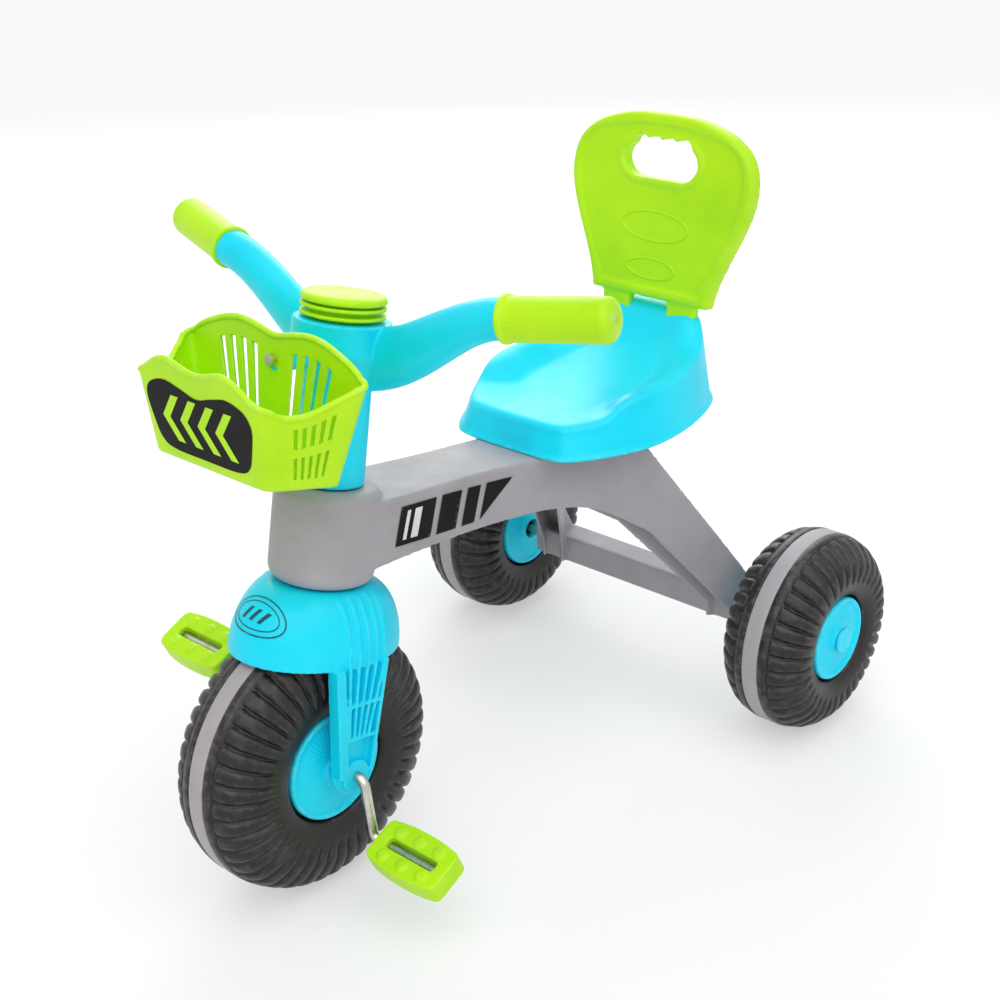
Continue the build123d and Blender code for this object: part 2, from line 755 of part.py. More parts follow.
# Backrest: a bulb-shaped shell, open behind, with a hand hole and two tabs into the seat
back_side = [(64, 0), (72, 30), (90, 72), (98, 105), (88, 138), (50, 158), (0, back_height)]


def back_outline(inset):
    """Outline of the backrest, drawn in by an inset."""
    with BuildSketch(back_plane) as outline:
        with BuildLine():
            Line((0, inset), (back_side[0][0] - inset, inset))
            side = [(x - inset, y) for x, y in back_side[1:-2]]
            shoulder = (back_side[-2][0] - inset / 2, back_side[-2][1] - inset)
            crown = (0, back_side[-1][1] - inset)
            Spline((back_side[0][0] - inset, inset), *side, shoulder, crown, tangents=[(0.1, 1), (-1, 0)])
            Line(crown, (0, inset))
        make_face()
        mirror(about=Plane.YZ)
    return outline.sketch


with BuildPart() as backrest:
    extrude(back_outline(0), amount=-back_thickness)
    face = faces().sort_by(Axis(back_plane.origin, back_plane.z_dir))[-1]
    fillet(face.edges(), back_round)
    extrude(back_outline(back_rim), amount=-back_dish, mode=Mode.SUBTRACT)
    with BuildSketch(back_plane):
        with Locations((0, hole_height)):
            SlotOverall(hole_width + 2 * hole_lip, hole_tall + 2 * hole_lip)
    extrude(amount=-back_thickness)
    with BuildSketch(back_plane):
        with Locations((0, hole_height)):
            SlotOverall(hole_width, hole_tall)
        with Locations(*[(step * scallop_pitch, hole_height + hole_tall / 2 - 3) for step in (-1.5, -0.5, 0.5, 1.5)]):
            Circle(scallop_radius)
    extrude(amount=-back_thickness, mode=Mode.SUBTRACT)
    for oval_y, oval_x, oval_tall in back_ovals:
        with BuildSketch(back_plane.offset(-back_dish)):
            with Locations((0, oval_y)):
                Ellipse(oval_x, oval_tall)
                Ellipse(oval_x - 2, oval_tall - 2, mode=Mode.SUBTRACT)
        extrude(amount=-oval_depth, mode=Mode.SUBTRACT)
    for side in (1, -1):
        with BuildSketch(back_plane.offset(-back_thickness / 2)):
            with Locations((side * tab_offset, 10 - tab_length / 2)):
                Rectangle(2 * tab_half_width, tab_length + 20)
        extrude(amount=tab_thickness / 2, both=True)
save(backrest.part, "backrest")

# Screws: under the seat, through the basket's back and through the stem into the column
with BuildPart() as seat_screws:
    with BuildSketch(plan_view.offset(seat_rest - frame_wall - screw_head)):
        with Locations(*[(x, 0) for x in seat_boss_x]):
            Circle(screw_head_radius)
    extrude(amount=screw_head)
    with BuildSketch(plan_view.offset(seat_rest - frame_wall)):
        with Locations(*[(x, 0) for x in seat_boss_x]):
            Circle(screw_radius)
    extrude(amount=frame_wall + seat_height - dish_depth - seat_wall - 1)
save(seat_screws.part, "seat_screws")

with BuildPart() as basket_screw:
    with BuildSketch(steer_front.offset(screw_back - screw_grip)):
        with Locations((0, basket_screw_height)):
            Circle(screw_radius)
    extrude(amount=screw_grip + basket_wall + 0.6)
    with BuildSketch(steer_front.offset(screw_back + basket_wall + 0.5)):
        with Locations((0, basket_screw_height)):
            Circle(screw_head_radius)
    extrude(amount=screw_head)
save(basket_screw.part, "basket_screw")

with BuildPart() as stem_screw:
    with BuildSketch(steer_front.offset(-stem_radius - screw_head)):
        with Locations((0, stem_screw_height)):
            Circle(screw_head_radius)
    extrude(amount=screw_head)
    with BuildSketch(steer_front.offset(-stem_radius)):
        with Locations((0, stem_screw_height)):
            Circle(screw_radius)
    extrude(amount=stem_radius - column_bore)
save(stem_screw.part, "stem_screw")
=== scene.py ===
import json
from math import copysign, cos, pi, radians, sin, sqrt

import bmesh
import bpy
from mathutils import Matrix, Vector
from mathutils.bvhtree import BVHTree


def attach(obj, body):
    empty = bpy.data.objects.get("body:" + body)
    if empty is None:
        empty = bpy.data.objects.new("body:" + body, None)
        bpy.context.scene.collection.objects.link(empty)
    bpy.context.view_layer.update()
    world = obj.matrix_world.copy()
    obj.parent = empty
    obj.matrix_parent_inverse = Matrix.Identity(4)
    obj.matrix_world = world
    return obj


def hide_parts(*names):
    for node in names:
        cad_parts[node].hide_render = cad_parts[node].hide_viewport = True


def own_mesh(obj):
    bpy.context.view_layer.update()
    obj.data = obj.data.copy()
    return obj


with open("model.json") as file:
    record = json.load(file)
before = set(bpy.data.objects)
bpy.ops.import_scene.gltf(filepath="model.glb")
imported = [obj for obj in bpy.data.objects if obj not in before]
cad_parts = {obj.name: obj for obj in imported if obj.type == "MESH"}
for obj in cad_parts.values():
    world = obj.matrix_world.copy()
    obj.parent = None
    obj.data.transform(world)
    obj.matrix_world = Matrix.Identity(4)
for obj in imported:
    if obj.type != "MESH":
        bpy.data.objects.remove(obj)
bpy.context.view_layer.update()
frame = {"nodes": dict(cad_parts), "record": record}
scene = bpy.context.scene
nodes = frame["nodes"]
record = frame["record"]
bodies = record["behaviour"]["bodies"]
body_of_node = {node: body for body, members in bodies.items() for node in members}
slot_of_node = {part["node"]: part["material_slot"] for part in record["subparts"]}

MM = 0.001

# Sizes of the CAD, in millimetres: x forward, y to the rider's left, z up from the floor
FRONT_AXLE = (211.0, 0.0, 110.0)
REAR_AXLE_X = -230.0
REAR_TRACK_HALF = 182.0
FRONT_RADIUS = 110.0
REAR_RADIUS = 91.0
RAKE = radians(12.0)

# Directions, and the steering frame: the axle's middle, forward square to the raked axis, up along it
AHEAD, LEFT, UP = Vector((1.0, 0.0, 0.0)), Vector((0.0, 1.0, 0.0)), Vector((0.0, 0.0, 1.0))
STEER_ORIGIN = Vector(FRONT_AXLE)
STEER_FORWARD = Vector((cos(RAKE), 0.0, sin(RAKE)))
STEER_UP = Vector((-sin(RAKE), 0.0, cos(RAKE)))


def steer_point(x, y, v):
    """A point of the steering frame, in millimetres, as a place in the room."""
    return STEER_ORIGIN + STEER_FORWARD * x + LEFT * y + STEER_UP * v


# ----- materials

# How pale the painted highlight on plastic's edges gets, and at most how far; colour sockets of Blender's
# Mix node
EDGE_HIGHLIGHT_WHITE, EDGE_HIGHLIGHT_SHARE = 0.35, 0.22
MIX_COLOUR_A, MIX_COLOUR_RESULT = 6, 2


def linear(value):
    """One sRGB channel, 0 to 255, as linear light."""
    share = value / 255.0
    return share / 12.92 if share <= 0.04045 else ((share + 0.055) / 1.055) ** 2.4


def colour(red, green, blue):
    return (linear(red), linear(green), linear(blue), 1.0)


def grey(level):
    return (level, level, level, 1.0)


class Nodes:
    """A material's node tree with short calls to add and join nodes."""

    def __init__(self, name):
        self.material = bpy.data.materials.new(name)
        self.material.use_nodes = True
        self.tree = self.material.node_tree
        self.shader = self.tree.nodes["Principled BSDF"]

    def add(self, kind, **inputs):
        node = self.tree.nodes.new(kind)
        for key, value in inputs.items():
            node.inputs[key].default_value = value
        return node

    def join(self, source, output, target, entry):
        self.tree.links.new(source.outputs[output], target.inputs[entry])

    def noise(self, place, scale, detail, rough):
        node = self.add("ShaderNodeTexNoise", Scale=scale, Detail=detail, Roughness=rough)
        self.join(place, "Object", node, "Vector")
        return node

    def ramp(self, source, stops, output="Fac"):
        node = self.add("ShaderNodeValToRGB")
        first, last = node.color_ramp.elements[0], node.color_ramp.elements[1]
        first.position, first.color = stops[0]
        last.position, last.color = stops[-1]
        for position, shade in stops[1:-1]:
            node.color_ramp.elements.new(position).color = shade
        self.join(source, output, node, "Fac")
        return node

    def bump(self, source, strength, distance, before=None):
        node = self.add("ShaderNodeBump", Strength=strength, Distance=distance)
        self.join(source, "Fac", node, "Height")
        if before:
            self.join(before, "Normal", node, "Normal")
        return node


def plastic(name, dark, mid, light, rough, spread, grain, specular=0.3):
    """Moulded plastic: cloudy colour, uneven gloss, a fine grain and paler edges in patches, a painted
    highlight.
    """
    mat = Nodes(name)
    place = mat.add("ShaderNodeTexCoord")
    pale = colour(*light)
    cloud = mat.noise(place, scale=14.0, detail=4.0, rough=0.55)
    tint = mat.ramp(cloud, [(0.3, colour(*dark)), (0.5, colour(*mid)), (0.72, pale)])

    # Painted highlight: convex edges turn paler, broken up in patches by a noise
    edge = mat.add("ShaderNodeNewGeometry")
    edge_highlight = mat.ramp(edge, [(0.5, grey(0.0)), (0.56, grey(EDGE_HIGHLIGHT_SHARE))], "Pointiness")
    speck = mat.noise(place, scale=160.0, detail=2.0, rough=0.6)
    patch = mat.ramp(speck, [(0.42, grey(0.0)), (0.66, grey(1.0))])
    share = mat.add("ShaderNodeMath")
    share.operation = "MULTIPLY"
    mat.join(edge_highlight, "Color", share, 0)
    mat.join(patch, "Color", share, 1)
    blend = mat.add("ShaderNodeMix")
    blend.data_type = "RGBA"
    # Shade of the painted edge highlight: the lightest tone drawn towards white
    edge_highlight_shade = [EDGE_HIGHLIGHT_WHITE + (1.0 - EDGE_HIGHLIGHT_WHITE) * channel for channel in pale[:3]]
    blend.inputs["B"].default_value = (*edge_highlight_shade, 1.0)
    mat.join(share, 0, blend, "Factor")
    mat.join(tint, "Color", blend, MIX_COLOUR_A)
    mat.join(blend, MIX_COLOUR_RESULT, mat.shader, "Base Color")

    sheen = mat.noise(place, scale=45.0, detail=3.0, rough=0.6)
    gloss = mat.ramp(sheen, [(0.3, grey(rough - spread)), (0.7, grey(rough + spread))])
    mat.join(gloss, "Color", mat.shader, "Roughness")
    pores = mat.noise(place, scale=1500.0, detail=2.0, rough=0.6)
    waves = mat.noise(place, scale=26.0, detail=2.0, rough=0.4)
    coarse = mat.bump(waves, strength=0.1, distance=0.0012)
    fine = mat.bump(pores, grain, distance=0.00025, before=coarse)
    mat.join(fine, "Normal", mat.shader, "Normal")
    mat.shader.inputs["Specular IOR Level"].default_value = specular
    return mat.material


def steel(name):
    """Zinc-plated rod: cloudy plating with fine marks around the rod."""
    mat = Nodes(name)
    place = mat.add("ShaderNodeTexCoord")
    cloud = mat.noise(place, scale=90.0, detail=4.0, rough=0.6)
    tint = mat.ramp(cloud, [(0.3, colour(176, 172, 166)), (0.7, colour(214, 211, 205))])
    mat.join(tint, "Color", mat.shader, "Base Color")
    scratch = mat.add("ShaderNodeTexWave", Scale=420.0, Distortion=3.0, Detail=2.0)
    scratch.bands_direction = "Y"
    mat.join(place, "Object", scratch, "Vector")
    gloss = mat.ramp(scratch, [(0.0, grey(0.26)), (1.0, grey(0.4))])
    mat.join(gloss, "Color", mat.shader, "Roughness")
    marks = mat.bump(scratch, strength=0.08, distance=0.0002)
    mat.join(marks, "Normal", mat.shader, "Normal")
    mat.shader.inputs["Metallic"].default_value = 1.0
    return mat.material


# Name, three shades from dark to light, roughness and its spread, grain, specular level if not the usual
PLASTICS = {
    "cyan": ("cyan_plastic", (2, 210, 238), (6, 220, 248), (20, 226, 252), 0.38, 0.06, 0.06, 0.28),
    "lime": ("lime_plastic", (172, 230, 4), (184, 238, 8), (194, 243, 18), 0.4, 0.06, 0.06, 0.28),
    "grey": ("grey_plastic", (158, 153, 158), (166, 161, 166), (174, 169, 174), 0.5, 0.07, 0.1),
    "tyre": ("tyre_plastic", (19, 15, 15), (24, 19, 19), (30, 25, 24), 0.38, 0.07, 0.1, 0.4),
    "band": ("band_plastic", (160, 154, 158), (168, 162, 166), (177, 171, 175), 0.5, 0.07, 0.1),
    "reed": ("reed_plastic", (214, 212, 204), (224, 222, 214), (233, 231, 224), 0.5, 0.06, 0.08),
    "ink": ("teal_ink", (10, 66, 84), (12, 74, 92), (18, 84, 102), 0.4, 0.05, 0.03),
    "pale": ("pale_print", (214, 212, 216), (224, 222, 226), (233, 231, 234), 0.42, 0.05, 0.03),
    "print": ("black_print", (14, 14, 14), (17, 17, 17), (22, 21, 20), 0.55, 0.05, 0.04, 0.15),
}
LOOKS = {look: plastic(*recipe) for look, recipe in PLASTICS.items()}
LOOKS["steel"] = steel("plated_steel")


def dress_nodes():
    """Give every CAD node its material."""
    for name, node in nodes.items():
        node.data.materials.clear()
        node.data.materials.append(LOOKS[slot_of_node.get(name, "grey")])


# ----- meshes


def in_scene(name, data):
    """A new object in the scene."""
    item = bpy.data.objects.new(name, data)
    scene.collection.objects.link(item)
    return item


def add_piece(name, mesh, look, body, *stands_for):
    """Put a finished mesh in the scene as a piece that rides a body."""
    mesh.materials.clear()
    mesh.materials.append(LOOKS[look])
    for polygon in mesh.polygons:
        polygon.use_smooth = True
    piece = in_scene(name, mesh)
    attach(piece, body)
    if stands_for:
        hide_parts(*stands_for)
    return piece


def baked(mesh, name, modifiers):
    """A new mesh: a mesh with modifiers applied. The old one is used up."""
    helper = in_scene(name + "_work", mesh)
    for kind, settings in modifiers:
        modifier = helper.modifiers.new(kind, kind)
        for key, value in settings.items():
            setattr(modifier, key, value)
    bpy.context.view_layer.update()
    finished = helper.evaluated_get(bpy.context.evaluated_depsgraph_get())
    result = bpy.data.meshes.new_from_object(finished)
    bpy.data.objects.remove(helper)
    bpy.data.meshes.remove(mesh)
    result.name = name
    return result


def cut(block, name, operation, *cutters):
    """A new mesh: a block cut by other meshes."""
    tools = [in_scene(cutter.name, cutter) for cutter in cutters]
    steps = [("BOOLEAN", {"operation": operation, "solver": "EXACT", "object": tool}) for tool in tools]
    mesh = baked(block, name, steps)
    for tool in tools:
        bpy.data.objects.remove(tool)
    return mesh


def rounding_steps(voxel, passes, keep):
    """Modifiers that round edges, then keep a share of the faces."""
    steps = [
        ("REMESH", {"mode": "VOXEL", "voxel_size": voxel * MM, "adaptivity": 0.0}),
        ("SMOOTH", {"factor": 0.5, "iterations": passes}),
    ]
    if keep < 1.0:
        steps.append(("DECIMATE", {"ratio": keep}))
    return steps


def softened(node, look, voxel, passes, keep=1.0):
    """A moulded copy of a CAD node, with rounded edges."""
    name = node + "_moulded"
    mesh = baked(nodes[node].data.copy(), name, rounding_steps(voxel, passes, keep))
    return add_piece(name, mesh, look, body_of_node[node], node)


def full_turn(count):
    """Angles of one turn in equal steps."""
    return [2 * pi * index / count for index in range(count)]


def smoothstep(share):
    return share * share * (3 - 2 * share)


def slab(low, foot, high, head):
    """A four-cornered outline, from a foot at one height to a head at another."""
    return [(foot[0], low), (foot[1], low), (head[1], high), (head[0], high)]


def square(half):
    return slab(-half, (-half, half), half, (-half, half))


def view_point(view, u, v, depth):
    """A place of a view, which is (origin, u axis, v axis, outward axis), in millimetres."""
    origin, across, up, out = view
    return origin + across * u + up * v + out * depth


class Solids:
    """Closed solids gathered in one mesh, in millimetres."""

    def __init__(self):
        self.verts = []
        self.faces = []

    def add(self, verts, faces):
        base = len(self.verts)
        self.verts += verts
        self.faces += [tuple(base + corner for corner in face) for face in faces]

    def prism(self, outline, view, near, far):
        """A flat outline drawn in a view and pushed from one depth to another."""
        self.loops([[view_point(view, u, v, depth) for u, v in outline] for depth in (near, far)], False)

    def loops(self, rings, closed):
        """Rings of points in a row, capped unless the row closes on itself."""
        count = len(rings[0])
        faces = []
        for row in range(len(rings) if closed else len(rings) - 1):
            here, there = row * count, ((row + 1) % len(rings)) * count
            for index in range(count):
                after = (index + 1) % count
                faces.append((here + index, here + after, there + after, there + index))
        if not closed:
            last = (len(rings) - 1) * count
            faces += [tuple(reversed(range(count))), tuple(range(last, last + count))]
        self.add([point for ring in rings for point in ring], faces)

    def tube(self, inner, outer, low, high, rounding=0.0, count=96):
        """A tube about the steering axis, with its outer rims rounded off."""
        turns = [pi / 2 * step / 6 for step in range(7)]
        arc = [(rounding * (1 - sin(turn)), rounding * (1 - cos(turn))) for turn in turns]
        section = [(inner, low), (outer - rounding, low)]
        section += [(outer - a, low + b) for a, b in arc[1:]]
        section += [(outer - b, high - a) for a, b in arc] + [(inner, high)]
        self.loops([steer_ring(v, r, r, count) for r, v in section], True)

    def mesh(self, name):
        mesh = bpy.data.meshes.new(name)
        mesh.from_pydata([Vector(vert) * MM for vert in self.verts], [], self.faces)
        mesh.update()
        return mesh


def looped(name, rings, closed=True):
    """A mesh of rings of points joined in a row."""
    solid = Solids()
    solid.loops(rings, closed)
    return solid.mesh(name)


def steer_ring(v, half_x, half_y, count):
    """An oval about the steering axis, at a height along it."""
    return [steer_point(half_x * cos(t), half_y * sin(t), v) for t in full_turn(count)]


def turned(name, profile, centre, steps, shift=None):
    """A ring turned about an axis along Y. Profile points are (radius, y); shift gives how far a
    point sinks in radius and in y, by its place in the profile and its angle."""
    rings = []
    for angle in full_turn(steps):
        ring = []
        for index, (radius, y) in enumerate(profile):
            sink_r, sink_y = shift(index, angle) if shift else (0.0, 0.0)
            reach = radius - sink_r
            side, rise = reach * cos(angle), reach * sin(angle)
            ring.append((centre[0] + side, centre[1] + y - sink_y, centre[2] + rise))
        rings.append(ring)
    return looped(name, rings)


def smooth_path(points, per_span, closed=False):
    """Points of a Catmull-Rom curve through the given points."""
    count = len(points)
    path = []
    for index in range(count if closed else count - 1):
        places = range(index - 1, index + 3)
        span = [points[k % count if closed else min(max(k, 0), count - 1)] for k in places]
        for t in [step / per_span for step in range(per_span)]:
            spot = []
            for b, s, e, a in zip(*span):
                bow, twist = 2 * b - 5 * s + 4 * e - a, 3 * s - b - 3 * e + a
                spot.append(0.5 * (2 * s + (e - b) * t + bow * t**2 + twist * t**3))
            path.append(tuple(spot))
    return path if closed else path + [tuple(points[-1])]


def height_path(points, per_span):
    """A smooth path of (place, height) points, ordered for value_at."""
    return sorted(smooth_path(points, per_span))


def value_at(path, place):
    """Height of a path of (place, height) points, read at a place."""
    if place <= path[0][0]:
        return path[0][1]
    for (x0, y0), (x1, y1) in zip(path, path[1:]):
        if place <= x1:
            return y0 + (y1 - y0) * (place - x0) / max(x1 - x0, 1e-9)
    return path[-1][1]


# ----- prints and raised lines

# How far out prints and raised lines are cast from
CAST_FROM = 120.0
BEAD_SIDES = 8


def surface_of(piece):
    """A search tree of a piece's surface."""
    corners = [vertex.co.copy() for vertex in piece.data.vertices]
    return BVHTree.FromPolygons(corners, [tuple(polygon.vertices) for polygon in piece.data.polygons])


def cast(surface, view, u, v):
    """Where a place of a view meets a surface, and the surface's normal there, in metres."""
    return surface.ray_cast(view_point(view, u, v, CAST_FROM) * MM, -view[3])[:2]


def oval(half_u, half_v, v=0.0, count=64):
    return [(half_u * cos(turn), v + half_v * sin(turn)) for turn in full_turn(count)]


def filled(outline, holes, step):
    """A flat mesh inside an outline and outside the holes, in cells no larger than a step."""
    flat = bmesh.new()
    edges = []
    for ring in [outline] + holes:
        corners = [flat.verts.new((u, v, 0.0)) for u, v in ring]
        for index, corner in enumerate(corners):
            edges.append(flat.edges.new((corner, corners[(index + 1) % len(corners)])))
    bmesh.ops.triangle_fill(flat, use_beauty=True, edges=edges)
    for axis in (AHEAD, LEFT):
        reach = [vertex.co.dot(axis) for vertex in flat.verts]
        place = min(reach) + step
        while place < max(reach):
            everything = flat.verts[:] + flat.edges[:] + flat.faces[:]
            bmesh.ops.bisect_plane(flat, geom=everything, plane_co=axis * place, plane_no=axis)
            place += step
    bmesh.ops.triangulate(flat, faces=flat.faces[:])
    return flat


def laid_on(name, surface, view, outline, look, body, lift, holes=(), step=3.0):
    """A thin print laid on a surface, lifted off it by a hair."""
    out = view[3]
    flat = filled(outline, list(holes), step)
    strays = []
    for vertex in flat.verts:
        hit, normal = cast(surface, view, vertex.co.x, vertex.co.y)
        if hit is None:
            strays.append(vertex)
            continue
        if normal.dot(out) < 0.0:
            normal = -normal
        vertex.co = hit + normal * (lift * MM)
    bmesh.ops.delete(flat, geom=strays, context="VERTS")
    for face in flat.faces:
        face.normal_update()
        if face.normal.dot(out) < 0.0:
            face.normal_flip()
    mesh = bpy.data.meshes.new(name)
    flat.to_mesh(mesh)
    flat.free()
    add_piece(name, mesh, look, body)


def bead_on(name, surface, view, outline, radius, look, body):
    """A round bead that lies half sunk along a closed outline on a surface."""
    out = view[3]
    spots = [cast(surface, view, u, v)[0] / MM for u, v in outline]
    rings = []
    for index, spot in enumerate(spots):
        along = (spots[(index + 1) % len(spots)] - spots[index - 1]).normalized()
        side = along.cross(out).normalized()
        ring = [side * cos(turn) + out * sin(turn) for turn in full_turn(BEAD_SIDES)]
        rings.append([spot + spoke * radius for spoke in ring])
    add_piece(name, looped(name, rings), look, body)


# ----- wheels

# Wheel, axle's place, radius, hub radius, lugs, height of the hub's cone, bore
WHEELS = (
    ("front", FRONT_AXLE, FRONT_RADIUS, 46.0, 44, 40.0, 4.1),
    ("rear_left", (REAR_AXLE_X, REAR_TRACK_HALF, REAR_RADIUS), REAR_RADIUS, 39.0, 36, 37.5, 9.9),
    ("rear_right", (REAR_AXLE_X, -REAR_TRACK_HALF, REAR_RADIUS), REAR_RADIUS, 39.0, 36, 37.5, 9.9),
)
# Half of a tyre's section: a smooth strip beside the band and the shoulder, as (depth below the
# tread, y); the flank, as (share of the way to the hub, y); bead and recess, as (height over the hub, y)
TYRE_STRIP = [(2.6, 8.0), (0.4, 8.15), (0.0, 9.0), (0.5, 12.5), (1.3, 15.8), (3.2, 16.4), (3.3, 17.0)]
TYRE_SHOULDER = [(1.9, 17.8), (4.2, 24.5), (10.0, 32.0)]
TYRE_FLANK = [(0.35, 38.6), (0.52, 41.0), (0.7, 40.6), (0.84, 38.6)]
TYRE_BEAD = [(5.0, 36.8), (2.6, 35.0)]
TYRE_RECESS = [(1.8, 32.0), (1.4, 27.5), (0.4, 26.5), (-2.0, 26.5)]
FLANK_STEPS = 7
# Lugs: pillows that run over the shoulder, lean back, turn sideways and fade out on the flank
LUG_DEPTH, LUG_SHARPNESS, LUG_LEAN = 4.4, 4, 0.35
LUG_FADE_START, LUG_FADE_LENGTH = 0.5, 0.17
LUG_TURN, LUG_TURN_RATE = 1.35, 1.7
SAMPLES_PER_LUG = 12
# Half of the band's section, as (depth below the tread, y)
BAND = [(0.0, 0.0), (0.05, 4.0), (0.2, 6.6), (0.6, 7.6), (1.2, 7.95), (2.6, 8.0)]
BAND_STEPS = 180
# Hub disc: rim as (depth below the hub's radius, y), cone, and boss as (radius, y from the cone's top)
HUB_RIM = [(0.5, 28.0), (0.5, 33.6), (1.2, 35.2), (2.6, 35.9), (4.2, 35.4), (5.2, 34.2), (6.0, 33.4)]
CONE_FOOT, CONE_HEAD, CONE_STEPS = (7.0, 33.3), (17.0, -2.6), 8
HUB_BOSS = [(14.6, -2.2), (13.6, -1.2), (12.6, 0.0), (11.0, 0.5)]
HUB_INSIDE = 28.0
HUB_LINES, HUB_LINE_DEPTH, SAMPLES_PER_LINE = 60, 0.35, 6


def make_tyre(wheel, centre, radius, hub, lugs):
    """A tyre with pillow lugs on both flanks."""
    drop = radius - hub
    strip = [(radius - depth, y) for depth, y in TYRE_STRIP]
    corners = [(radius - depth, y) for depth, y in TYRE_SHOULDER]
    corners += [(radius - share * drop, y) for share, y in TYRE_FLANK]
    corners += [(hub + over, y) for over, y in TYRE_BEAD]
    side = smooth_path(corners, FLANK_STEPS)
    half = strip + side + [(hub + over, y) for over, y in TYRE_RECESS]
    profile = [(r, -y) for r, y in reversed(half)] + half
    reach = len(half)

    def shift(index, angle):
        flank = 1 if index >= reach else -1
        place = (index - reach if flank > 0 else reach - 1 - index) - len(strip)
        if not 0 <= place < len(side):
            return 0.0, 0.0
        along = place / (len(side) - 1)
        fade = smoothstep(min(1.0, max(0.0, 1 - (along - LUG_FADE_START) / LUG_FADE_LENGTH)))
        phase = (angle * lugs / (2 * pi) + LUG_LEAN * along * flank) % 1.0
        depth = LUG_DEPTH * fade * abs(2 * phase - 1) ** LUG_SHARPNESS
        turn = LUG_TURN * min(1.0, along * LUG_TURN_RATE)
        return depth * cos(turn), depth * sin(turn) * flank

    name = wheel + "_tyre_tread"
    mesh = turned(name, profile, centre, lugs * SAMPLES_PER_LUG, shift)
    add_piece(name, mesh, "tyre", wheel + "_wheel", wheel + "_tyre")


def make_band(wheel, centre, radius):
    """The smooth running band: slightly crowned, with rounded edges."""
    half = [(radius - depth, y) for depth, y in BAND]
    profile = [(r, -y) for r, y in reversed(half[1:])] + half
    name = wheel + "_band_ring"
    mesh = turned(name, profile, centre, BAND_STEPS)
    add_piece(name, mesh, "band", wheel + "_wheel", wheel + "_band")


def make_hub(wheel, centre, hub, flank, cone_top, bore):
    """A hub disc: a rolled rim, then a cone with fine moulded lines."""
    rim = [(hub - depth, y) for depth, y in HUB_RIM]
    (r0, y0), (r1, y1) = (hub - CONE_FOOT[0], CONE_FOOT[1]), (CONE_HEAD[0], cone_top + CONE_HEAD[1])
    shares = [step / CONE_STEPS for step in range(CONE_STEPS + 1)]
    cone = [(r0 + (r1 - r0) * share, y0 + (y1 - y0) * share) for share in shares]
    boss = [(radius, cone_top + rise) for radius, rise in HUB_BOSS]
    boss += [(bore, boss[-1][1]), (bore, HUB_INSIDE)]
    profile = [(r, flank * y) for r, y in rim + cone + boss]
    start, end = len(rim), len(rim) + len(cone)

    def shift(index, angle):
        if index <= start or index >= end - 1:
            return 0.0, 0.0
        wave = abs(2 * ((angle * HUB_LINES / (2 * pi)) % 1.0) - 1)
        return 0.0, HUB_LINE_DEPTH * flank * wave**3

    node = f"{wheel}_hub_{'left' if flank > 0 else 'right'}"
    name = node + "_disc"
    mesh = turned(name, profile, centre, HUB_LINES * SAMPLES_PER_LINE, shift)
    add_piece(name, mesh, "cyan", wheel + "_wheel", node)


def build_wheels():
    for wheel, centre, radius, hub, lugs, cone_top, bore in WHEELS:
        make_tyre(wheel, centre, radius, hub, lugs)
        make_band(wheel, centre, radius)
        for flank in (1, -1):
            make_hub(wheel, centre, hub, flank, cone_top, bore)


# ----- frame

# Side and plan outlines, ahead of the front axle and above the floor or to the left
FRAME_WALL = 3.5
BEAM_TOP, BEAM_SLOPE = [(-62, 313), (-246, 285), (-341, 285)], 0.152
LEG_HEEL, LEG_TOE = (-452, 104), (-421, 92)
LEG_FLOOR = 77.0
ARCH = [(-352, 187), (-312, 215.5), (-277, 229), (-211, 241), (-139, 251)]
HEAD_CORNER = (-30, 263)
LEG_OUTER = [(-24, 41), (-140, 35), (-215, 35), (-262, 39), (-330, 61), (-430, 118), (-458, 126)]
LEG_INNER = [(-458, 98), (-430, 92), (-352, 34)]
CROTCH = -318.0
# The hollow starts behind the head and runs out through the underside
HOLLOW_START, HOLLOW_DROP = 38.0, 25.0
# Bore of the steering head: radius, and both ends along the axis; half of the axle's square housing
HEAD_BORE, BORE_ENDS, HOUSING_HALF = 20.3, (100.0, 260.0), 14.0
PATH_STEPS = 6
# Slanted bars along the beam, with two pale strokes on the first
BEAM_BARS = [
    [(-74, 271), (-84, 301), (-124, 294.5), (-114, 264)],
    [(-121, 263), (-131, 293.5), (-154, 289.5), (-144, 259.5)],
    [(-151, 258.5), (-161, 288.5), (-176, 286), (-166, 256.5)],
    [(-173, 256), (-183, 285), (-214, 280)],
]
BEAM_STROKES = [
    [(-82, 274), (-90, 296), (-94, 295.4), (-86, 273.2)],
    [(-91, 272.4), (-99, 294.6), (-107, 293.3), (-99, 270.8)],
]
BEAM_HALF, BAR_LIFT, STROKE_LIFT = 30.0, 0.6, 0.9


def frame_side(inset):
    """Side outline of beam and legs; an inset lowers the top and leaves the underside open."""
    drop = HOLLOW_DROP if inset else 0.0
    nose = -HOLLOW_START if inset else 0.0
    floor = LEG_FLOOR - drop
    start = (BEAM_TOP[0][0] + nose, BEAM_TOP[0][1] - inset + BEAM_SLOPE * nose)
    heel = (LEG_HEEL[0] + inset, LEG_HEEL[1] - inset)
    top = [start] + [(x, z - inset) for x, z in BEAM_TOP[1:]] + [heel, (heel[0], floor)]
    toe = [(LEG_TOE[0], floor), (LEG_TOE[0] + drop / 2, LEG_TOE[1] - drop / 2)]
    under = [(x + drop / 2, z - drop) for x, z in ARCH]
    under.append((HEAD_CORNER[0] + nose, HEAD_CORNER[1] - drop))
    return top + toe + smooth_path(under, PATH_STEPS)


def frame_plan(inset):
    """Plan outline of beam and legs, which part at the crotch."""
    nose = -HOLLOW_START if inset else 0.0
    outer = [(x, y - inset) for x, y in LEG_OUTER]
    outer[0] = (outer[0][0] + nose, outer[0][1])
    left = smooth_path(outer, PATH_STEPS) + [(x, y + inset) for x, y in LEG_INNER]
    return left + [(CROTCH + 2 * inset, 0.0)] + [(x, -y) for x, y in reversed(left)]


